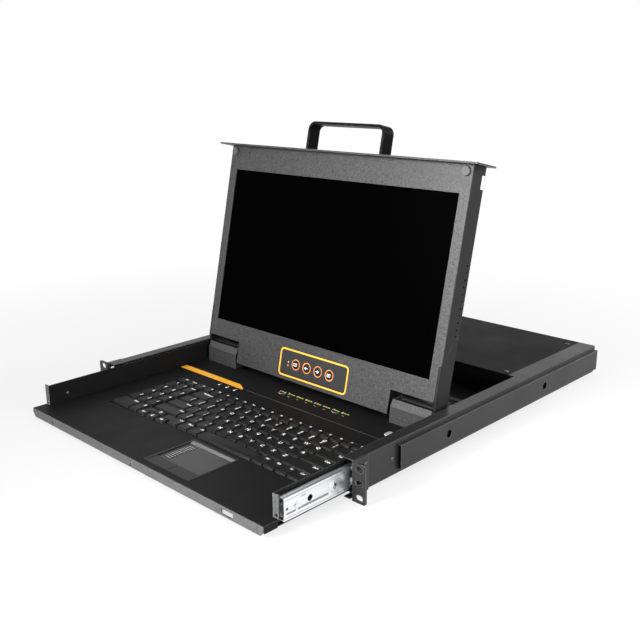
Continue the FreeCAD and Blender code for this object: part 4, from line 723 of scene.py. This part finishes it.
# %% Lamps and digits on the deck
lamp_boxes = sorted(loose_boxes("status_lamps"), key=lambda pair: pair[0].x)
BETWEEN_ROWS = 120 * MM
port_lamps = [pair for pair in lamp_boxes if pair[0].y > BETWEEN_ROWS]
lock_lamps = [pair for pair in lamp_boxes if pair[0].y < BETWEEN_ROWS]
for name, members, material in (("port_lamps_amber", port_lamps[0::2], amber_lamp),
                                ("port_lamps_green", port_lamps[1::2], green_lamp),
                                ("lock_lamps", lock_lamps, white_ink_painted_glow)):
    windows = bmesh.new()
    for lo, hi in members:
        shoulder = lo.z + (hi.z - lo.z) * 0.6
        lofted(windows, lo, hi, ((-0.3, -0.3, -0.3, 0.5, lo.z), (-0.3, -0.3, -0.3, 0.5, shoulder),
                                 (-0.1, -0.1, -0.1, 0.4, hi.z)), closed_start=True)
    finished(name, windows, material, "drawer", stands_for=("status_lamps",))

digits = bmesh.new()
for number, (lo, hi) in enumerate(port_lamps[0::2], 1):
    place = Vector((lo.x - 3.0 * MM, (lo.y + hi.y) / 2, deck_z + INK))
    text_mesh(digits, str(number), place, 5.0)
for mark, (lo, hi) in zip("1AS", lock_lamps):
    place = Vector(((lo.x + hi.x) / 2, hi.y + 2.6 * MM, deck_z + INK))
    text_mesh(digits, mark, place, 4.4)
finished("deck_digits", digits, white_ink_painted_glow, "drawer")
print("port lamps", len(port_lamps), "lock lamps", len(lock_lamps))

# %% [markdown]
# Thin strokes finish the row: a dash in front of each pair of lamps, and an arc in front of
# the first and the seventh. A stroke is a row of flat quads along a line of points.

# %% Dashes and arcs on the deck
def stroke(mesh, points, width, lay, height):
    """A thin printed line through points, laid down at one height."""
    for (ax, ay), (bx, by) in zip(points, points[1:]):
        along = Vector((bx - ax, by - ay)).normalized() * width / 2
        side = Vector((-along.y, along.x))
        corners = [(ax - along.x + side.x, ay - along.y + side.y),
                   (ax - along.x - side.x, ay - along.y - side.y),
                   (bx + along.x - side.x, by + along.y - side.y),
                   (bx + along.x + side.x, by + along.y + side.y)]
        mesh.faces.new([mesh.verts.new(lay(x, y, height)) for x, y in corners])


FIRST_PORT, PORT_PITCH = -23.0, 15.9
ARC_BACK, DASH_BACK = 136.2, 132.5
arcs = bmesh.new()
for centre in (FIRST_PORT, FIRST_PORT + 6 * PORT_PITCH):
    sweep = [math.radians(degrees) for degrees in range(180, 361, 30)]
    curve = [(centre + 5.5 * math.cos(a), ARC_BACK + 3.2 * math.sin(a)) for a in sweep]
    stroke(arcs, curve, 0.45, in_plan, deck_z + INK)
for place in range(8):
    centre = FIRST_PORT + place * PORT_PITCH
    stroke(arcs, [(centre - 1.5, DASH_BACK), (centre + 1.5, DASH_BACK)], 0.5, in_plan, deck_z + INK)
finished("deck_arcs", arcs, white_ink_painted_glow, "drawer")
print("dashes", place + 1)

# %% [markdown]
# The screen's controls are four gloss buttons, each in a copper ring, inside an orange
# frame. The icons are plain strokes: two framed dashes and two arrows. Two small lamps
# stand beside them. Each profile below lists a radius and how far it stands out of the
# screen's face, in millimetres.

# %% Screen controls
FACE_OUT = 15.0
BUTTON_UP = 11.7
ICON_OUT = 1.36
RING_PROFILE = ((6.35, 0.0), (6.45, 0.4), (6.85, 0.5), (7.25, 0.4), (7.35, 0.0))
BUTTON_PROFILE = ((5.2, -1.2), (5.2, 0.7), (5.0, 1.1), (4.5, 1.35), (3.4, 1.2), (1.6, 1.1))
LAMP_PROFILE = ((1.0, 0.0), (1.0, 0.15), (0.7, 0.28))
LAMP_ACROSS = -36.6


def on_face(x, up, out):
    """A point on the screen's face or a little out of it, in millimetres."""
    return on_screen(x, up, FACE_OUT + out)


button_boxes = [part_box("osd_button_%d" % number) for number in range(1, 5)]
button_x = [(lo[0] + hi[0]) / 2 / MM for lo, hi in button_boxes]
rings = bmesh.new()
for x in button_x:
    turned(rings, x, BUTTON_UP, RING_PROFILE, 36, on_face, closed=False)
finished("button_rings", rings, copper_ink_painted_glow, "lcd")

for number, x in enumerate(button_x, 1):
    body = "screen_button_%d" % number
    cap = bmesh.new()
    turned(cap, x, BUTTON_UP, BUTTON_PROFILE, 32, on_face)
    finished("button_cap_%d" % number, cap, button_gloss, body, angle=1.0,
             stands_for=("osd_button_%d" % number,))
    if number in (1, 4):
        corners = ((-2.6, -1.7), (2.6, -1.7), (2.6, 1.7), (-2.6, 1.7), (-2.6, -1.7))
        strokes = [(0.55, corners), (0.6, ((-1.3, 0), (1.3, 0)))]
    else:
        way = -1 if number == 2 else 1
        strokes = [(0.7, ((-2.4 * way, 0), (1.6 * way, 0))),
                   (0.6, ((0.4 * way, 1.7), (2.4 * way, 0), (0.4 * way, -1.7)))]
    icon = bmesh.new()
    for width, points in strokes:
        stroke(icon, [(x + dx, BUTTON_UP + du) for dx, du in points], width, on_face, ICON_OUT)
    finished("button_icon_%d" % number, icon, white_ink_painted_glow, body)

for name, up, material in (("screen_lamp_power", 8.0, amber_lamp),
                           ("screen_lamp_ready", 12.6, pale_plastic)):
    dot = bmesh.new()
    turned(dot, LAMP_ACROSS, up, LAMP_PROFILE, 16, on_face)
    finished(name, dot, material, "lcd", stands_for=("osd_lamps",))
print("buttons at", [round(x, 1) for x in button_x])

# %% [markdown]
# A dark film lies inside the orange frame, a tenth of a millimetre off the face. It has a
# round hole for each button, so a pressed cap passes through it. The pale insert high on
# the screen's right side is the latch's keep.

# %% Control film and latch keep
film = bmesh.new()
film_edges = []
holes = [circle(x, BUTTON_UP, 6.6, 36) for x in button_x]
for outline in [rounded(-50.6, 67.3, -4.6, 28.1, 3.0)] + holes:
    loop = [film.verts.new(on_face(x, up, 0.1)) for x, up in outline]
    film_edges += [film.edges.new(ends) for ends in zip(loop, loop[1:] + loop[:1])]
bmesh.ops.triangle_fill(film, edges=film_edges, use_beauty=True)
finished("control_film", film, film_plastic, "lcd")
keep = bmesh.new()
stacked(keep, -10, -5.2, 266.4, 282.0, 0.8, ((0.0, 204.55), (0.0, 204.8), (0.25, 204.95)),
        lambda out, up, x: on_screen(x, up, out))
finished("latch_keep_insert", keep, pale_plastic, "lcd")
print("holes in the film", len(holes))

# %% [markdown]
# The little catch at the right end of the deck is a satin metal lozenge with softened
# edges, so it shows as one pale spot against the black paint.

# %% Catch on the deck
catch_lo, catch_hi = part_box("catch_plate")
catch = bmesh.new()
stacked(catch, catch_lo[0], catch_hi[0], catch_lo[1], catch_hi[1], 3.2 * MM,
        ((0.0, catch_lo[2]), (0.0, catch_hi[2] - 0.3 * MM), (0.3 * MM, catch_hi[2]),
         (2.2 * MM, catch_hi[2])))
finished("catch_cap", catch, catch_satin, "drawer", stands_for=("catch_plate",))
print("catch", [round(v, 4) for v in catch_lo])

# %% [markdown]
# The touchpad's ribs catch the light along one edge of the pad. That light is painted: thin
# strips of a pale plastic lie on the solid ribs as a painted highlight.

# %% Touchpad ribs, painted highlight
RIB_COUNT, RIB_PITCH, RIB_IN = 11, 3.3, 6
RIB_LONG, RIB_HALF, RIB_HIGH = 11, 0.55, 0.6
pad_lo, pad_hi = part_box("touchpad_surface")
rib_tops = pad_hi[2]
rib_x = pad_lo[0] / MM + RIB_IN
rib_mesh = bmesh.new()
for number in range(RIB_COUNT):
    along = pad_hi[1] / MM - RIB_IN - number * RIB_PITCH
    stacked(rib_mesh, rib_x, rib_x + RIB_LONG, along - RIB_HALF, along + RIB_HALF, 0.4,
            ((0.0, rib_tops - 0.1 * MM), (0.05, rib_tops + 0.02 * MM),
             (0.25, rib_tops + 0.12 * MM)), in_plan)
finished("touchpad_rib_highlights", rib_mesh, rib_painted_highlight, "drawer")
print("ribs", RIB_COUNT)

# %% [markdown]
# Behind the pad the well's wall slopes up to the rim and shows as a pale band where it tilts
# toward the light. A thin strip of paler, slightly smoother plastic laid on the slope paints
# that band as a painted highlight.

# %% Touchpad slope, painted highlight
SLOPE_RUN, STRIP_THICK = 5, 0.1
slope_foot = Vector((0, pad_hi[1], rib_tops - RIB_HIGH * MM))
slope_top = Vector((0, pad_hi[1] + SLOPE_RUN * MM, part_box("touchpad_frame")[1][2]))
off_slope = Vector((0, slope_foot.z - slope_top.z, slope_top.y - slope_foot.y)).normalized()
strip_left, strip_right = pad_lo[0] + 0.3 * MM, pad_hi[0] - 0.3 * MM
strip_corners = ((strip_left, 0.05), (strip_right, 0.05), (strip_right, 0.93), (strip_left, 0.93))
strip = bmesh.new()
add_rings(strip, [[Vector((x, 0, 0)) + slope_foot.lerp(slope_top, share) + off_slope * height
                   for x, share in strip_corners] for height in (0.0, STRIP_THICK * MM)])
finished("touchpad_slope_highlight_strip", strip, slope_painted_highlight, "drawer")
print("slope", [round(v / MM, 1) for v in slope_top])

# %% [markdown]
# The face of the slide is a stamped strip: a long bead that stiffens it, the folded lips
# above and below, a lance tab near the front, and a shallow dome that stops the cage. They
# are built as thin raised shapes on the strip's own face, and mirrored for the other side.
# A bead is given by its front and rear ends and its low and high edges, in millimetres.

# %% Stampings on the slides
slide_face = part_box("slide_middle_right")[1][0]
BEADS = ((-89, -31, -4.2, -2.0), (-90, 40, -7.9, -7.4), (-90, 40, 11.2, 11.6), (-70, -62, 8.2, 8.7))
TAB = (-76.6, -73.4, -4.4, 6.6)
DOME_PROFILE = ((5.2, -0.6), (5.0, -0.2), (3.8, 0.15), (2.0, 0.35), (0.6, 0.4))


def on_slide(side):
    """A way to lay points on one side's slide: along it, up it and out of its face."""
    return lambda y, z, out: Vector((side * (slide_face + out * MM), y * MM, z * MM))


for side, name in ((1, "right"), (-1, "left")):
    beads, bright = bmesh.new(), bmesh.new()
    for bead in BEADS:
        stacked(beads, *bead, 0.8, ((0.0, -0.5), (0.0, 0.0), (0.12, 0.03)), on_slide(side))
    stacked(bright, *TAB, 0.7, ((0.0, -0.5), (0.0, 0.15), (0.5, 0.35)), on_slide(side))
    turned(bright, -24, 2.5, DOME_PROFILE, 28, on_slide(side))
    finished("slide_beads_" + name, beads, bead_shadow, "slide_middle")
    finished("slide_stampings_" + name, bright, bright_steel, "slide_middle")
print("slide face at", round(slide_face, 4))

# %% [markdown]
# Each rear port is a plated socket shell round a black insulator with three rows of gold
# contacts, standing on its seat inside the wall. The shell is hollow, so it's built from
# rings that run out along the outside and back along the inside. A ring is given by its
# distance inward from the port's end and its inset from the shell's outline.

# %% Rear ports
PORT_HALF, PORT_TALL, PORT_CORNER = 8.2, 4.1, 2.0
PORT_ABOVE_MIDDLE = 1.55
SHELL_RINGS = ((6.5, 0.0), (0.3, 0.0), (0.0, 0.25), (0.3, 0.6), (3.6, 0.6))
CORE_RINGS = ((6.5, 0.3), (3.2, 0.6), (3.0, 0.8))
SEAT_BACK = 6.6
PIN_ROWS = ((2.0, 0.0), (0.0, -0.9), (-2.0, 0.0))
PIN_PITCH = 2.3
PIN_PROFILE = ((0.42, 3.1), (0.42, 2.9), (0.2, 2.85))
ports_lo, ports_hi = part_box("rear_ports")
port_high = (ports_lo[2] + ports_hi[2]) / 2 + PORT_ABOVE_MIDDLE * MM
port_end = ports_hi[1]
shells, seats, blacks, pins = bmesh.new(), bmesh.new(), bmesh.new(), bmesh.new()


def socket_ring(centre, back, inset):
    """A D-shaped loop, wider at its top, seen from behind."""
    half, tall = PORT_HALF - inset, PORT_TALL - inset
    return [Vector((centre + x * (1 + 0.05 * z / tall) * MM, port_end - back * MM,
                    port_high + z * MM))
            for x, z in rounded(-half, half, -tall, tall, PORT_CORNER - min(inset, 1.2))]


def on_port(across, up):
    """A way to lay points round one contact, at a distance in from the port's end."""
    return lambda dx, dz, back: Vector((across + dx * MM, port_end - back * MM,
                                        port_high + (up + dz) * MM))


for lo, hi in loose_boxes("rear_ports"):
    centre = (lo.x + hi.x) / 2
    add_rings(shells, [socket_ring(centre, *ring) for ring in SHELL_RINGS],
              closed_start=False, closed_end=False)
    add_rings(blacks, [socket_ring(centre, *ring) for ring in CORE_RINGS])
    stacked(seats, lo.x, hi.x, lo.y, port_end - SEAT_BACK * MM, 1.5 * MM,
            ((0.0, lo.z), (0.0, hi.z - 0.5 * MM), (0.5 * MM, hi.z)))
    for row, shift in PIN_ROWS:
        for step in range(-2, 3):
            across = centre + (step * PIN_PITCH + shift) * MM
            turned(pins, 0, 0, PIN_PROFILE, 8, on_port(across, row))
for name, mesh, material in (("port_shells", shells, zinc),
                             ("port_insulators", blacks, socket_plastic),
                             ("port_seats", seats, socket_plastic)):
    finished(name, mesh, material, "chassis", stands_for=("rear_ports",))
finished("port_contacts", pins, gold, "chassis")
print("ports end at", round(port_end, 4))

# %% [markdown]
# Digits number the ports, C marks the console's own, and I and O stand by the rocker.

# %% Digits on the rear wall
rear_words = bmesh.new()
rear_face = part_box("chassis_shell")[1][1] + 0.04 * MM
facing_back = Matrix(((-1, 0, 0, 0), (0, 0, 1, 0), (0, 1, 0, 0), (0, 0, 0, 1)))
ports_in_order = sorted(loose_boxes("rear_ports"), key=lambda pair: -pair[0].x)
rocker_lo, rocker_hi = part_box("rocker_frame")
rocker_x = (rocker_lo[0] + rocker_hi[0]) / 2
marks = [(word, (lo.x + hi.x) / 2, port_high - 9.5 * MM)
         for word, (lo, hi) in zip("12345678C", ports_in_order)]
marks += [("I", rocker_x, rocker_hi[2] + 3.0 * MM), ("O", rocker_x, rocker_lo[2] - 3.0 * MM)]
for word, x, z in marks:
    text_mesh(rear_words, word, Vector((x, rear_face, z)), 4.5, facing_back)
finished("rear_digits", rear_words, white_ink_painted_glow, "chassis")
print("rear marks", len(marks))

# %% [markdown]
# Screws are low pan heads with a cross recess. Each is turned from rings about its own
# thin direction, and the recess is a flat dark cross laid on its top: painted shade for the
# hollow, which isn't cut. A screw on an outer side wall looks outward, and one on an inner
# side wall looks inward.

# %% Screw heads
OUTER_WALL = 0.215
HEAD_PROFILE = ((1.0, 0.0), (1.0, 0.45), (0.9, 0.75), (0.62, 0.93), (0.1, 0.97))


def screw_head(mesh, slot_mesh, lo, hi):
    """One head in its screw's box, and the dark cross on it, painted shade for the recess, in a
    mesh of its own.
    """
    size = hi - lo
    axis = min(range(3), key=lambda k: size[k])
    across, along = [k for k in range(3) if k != axis]
    middle = (lo + hi) / 2
    outward = 1
    if axis == 0:
        outward = math.copysign(1, middle.x) * (1 if abs(middle.x) > OUTER_WALL else -1)
    radius = size[across] / 2
    base = lo[axis] if outward > 0 else hi[axis]

    def on_head(a, b, rise):
        """A point in shares of the head's radius and height."""
        point = Vector((0, 0, 0))
        point[across] = middle[across] + a * radius
        point[along] = middle[along] + b * radius
        point[axis] = base + outward * size[axis] * rise
        return point
    turned(mesh, 0, 0, HEAD_PROFILE, 20, on_head)
    for first, second in ((0.55, 0.13), (0.13, 0.55)):
        corners = ((-first, -second), (first, -second), (first, second), (-first, second))
        slot_mesh.faces.new([slot_mesh.verts.new(on_head(a, b, 0.99)) for a, b in corners])


for name, body in (("chassis_screws", "chassis"), ("drawer_screws", "drawer")):
    heads, recesses = bmesh.new(), bmesh.new()
    for lo, hi in loose_boxes(name):
        screw_head(heads, recesses, lo, hi)
    finished(name.replace("screws", "screw_heads"), heads, screw_metal, body, angle=0.9,
             stands_for=(name,))
    finished(name.replace("screws", "screw_recess_shade"), recesses, recess_painted_shade, body)
print("screws done")

# %% [markdown]
# The studio is a pale floor and a few large soft lamps. Big lamps give the long soft edges
# that show a powder coat's texture. The floor turns to plain white away from the object, so
# there's no horizon, and it keeps the object's own shadow near it.

# %% Lamps
def area_lamp(name, place, target, size, power, beam=180):
    """A soft rectangular lamp at a place, turned to its target, with a beam in degrees."""
    data = bpy.data.lights.new(name, "AREA")
    data.spread = math.radians(beam)
    data.shape = "RECTANGLE"
    data.size, data.size_y = size
    data.energy = power
    lamp = placed(name, data)
    way = (Vector(target) - Vector(place)).normalized()
    facing = way.to_track_quat("-Z", "Y").to_matrix().to_4x4()
    lamp.matrix_world = Matrix.Translation(Vector(place)) @ facing


area_lamp("lamp_front", (-0.2, -1.7, 0.9), (0.48, 0.2, 0.36), (0.8, 0.6), 9.5, beam=50)
area_lamp("lamp_low", (0.3, -2.0, 0.2), (0.1, 0.0, 0.0), (1.4, 0.35), 4, beam=70)
area_lamp("lamp_side", (2.2, 0.0, 0.4), (0.1, 0.2, 0.02), (1.2, 0.7), 36)
area_lamp("lamp_rear", (1.5, 2.3, 1.0), (0, 0.3, 0.1), (1.4, 0.9), 30)
area_lamp("lamp_over", (0.6, -0.4, 2.1), (0, 0.15, 0.1), (1.4, 1.0), 7)
print("lamps", len(bpy.data.lights))

# %% [markdown]
# The floor is matt paper that fades into a white glow about a metre out. Rays off a dull
# surface meet only the matt paper, so the glow lights nothing. The world works the same way:
# white where it's seen, and a weak even light for the rest.

# %% Floor and world
def white_seen(nodes, links, path, share=None):
    """1 for a ray from the camera, off gloss or through glass, times a share if there is one."""
    value = path.outputs["Is Camera Ray"]
    for name in ("Is Glossy Ray", "Is Transmission Ray"):
        either = add_node(nodes, "Math", operation="MAXIMUM")
        links.new(value, either.inputs[0])
        links.new(path.outputs[name], either.inputs[1])
        value = either.outputs["Value"]
    if share is not None:
        both = add_node(nodes, "Math", operation="MULTIPLY")
        links.new(value, both.inputs[0])
        links.new(share, both.inputs[1])
        value = both.outputs["Value"]
    return value


WHITE = (1, 1, 1, 1)
paper, nodes, links, shader = new_finish("studio_paper")
nodes.remove(shader)
paper_out = nodes["Material Output"]
matt = add_node(nodes, "BsdfDiffuse", {"Color": (0.9, 0.9, 0.9, 1)})
glow = add_node(nodes, "Emission", {"Color": WHITE})
where = nodes.new("ShaderNodeTexCoord")
reach = add_node(nodes, "VectorMath", operation="LENGTH")
fade = add_node(nodes, "MapRange", {"From Min": 0.25, "From Max": 0.95, "To Min": 0.72})
blend = nodes.new("ShaderNodeMixShader")
links.new(where.outputs["Object"], reach.inputs[0])
links.new(reach.outputs["Value"], fade.inputs["Value"])
paper_path = nodes.new("ShaderNodeLightPath")
paper_seen = white_seen(nodes, links, paper_path, fade.outputs["Result"])
links.new(paper_seen, blend.inputs["Fac"])
links.new(matt.outputs["BSDF"], blend.inputs[1])
links.new(glow.outputs["Emission"], blend.inputs[2])
links.new(blend.outputs["Shader"], paper_out.inputs["Surface"])

FLOOR_HALF, FLOOR_GAP = 9.0, 0.0002
floor_mesh = bpy.data.meshes.new("studio_floor")
signs = ((-1, -1), (1, -1), (1, 1), (-1, 1))
floor_mesh.from_pydata([(x * FLOOR_HALF, y * FLOOR_HALF, 0) for x, y in signs], [], [(0, 1, 2, 3)])
floor = placed("studio_floor", floor_mesh)
floor.location = (0, 0.15, cad_box[0][2] - FLOOR_GAP)
floor.data.materials.append(paper)
world = bpy.data.worlds.new("studio_world")
world.use_nodes = True
tree = world.node_tree
back = tree.nodes["Background"]
back.inputs["Color"].default_value = WHITE
back.inputs["Strength"].default_value = 0.3
seen = add_node(tree.nodes, "Background", {"Color": WHITE, "Strength": 1.0})
path = tree.nodes.new("ShaderNodeLightPath")
choose = tree.nodes.new("ShaderNodeMixShader")
tree.links.new(white_seen(tree.nodes, tree.links, path), choose.inputs["Fac"])
tree.links.new(back.outputs["Background"], choose.inputs[1])
tree.links.new(seen.outputs["Background"], choose.inputs[2])
tree.links.new(choose.outputs["Shader"], tree.nodes["World Output"].inputs["Surface"])
bpy.context.scene.world = world
bpy.context.scene.view_settings.view_transform = "Standard"
print("floor at", round(floor.location.z, 4))
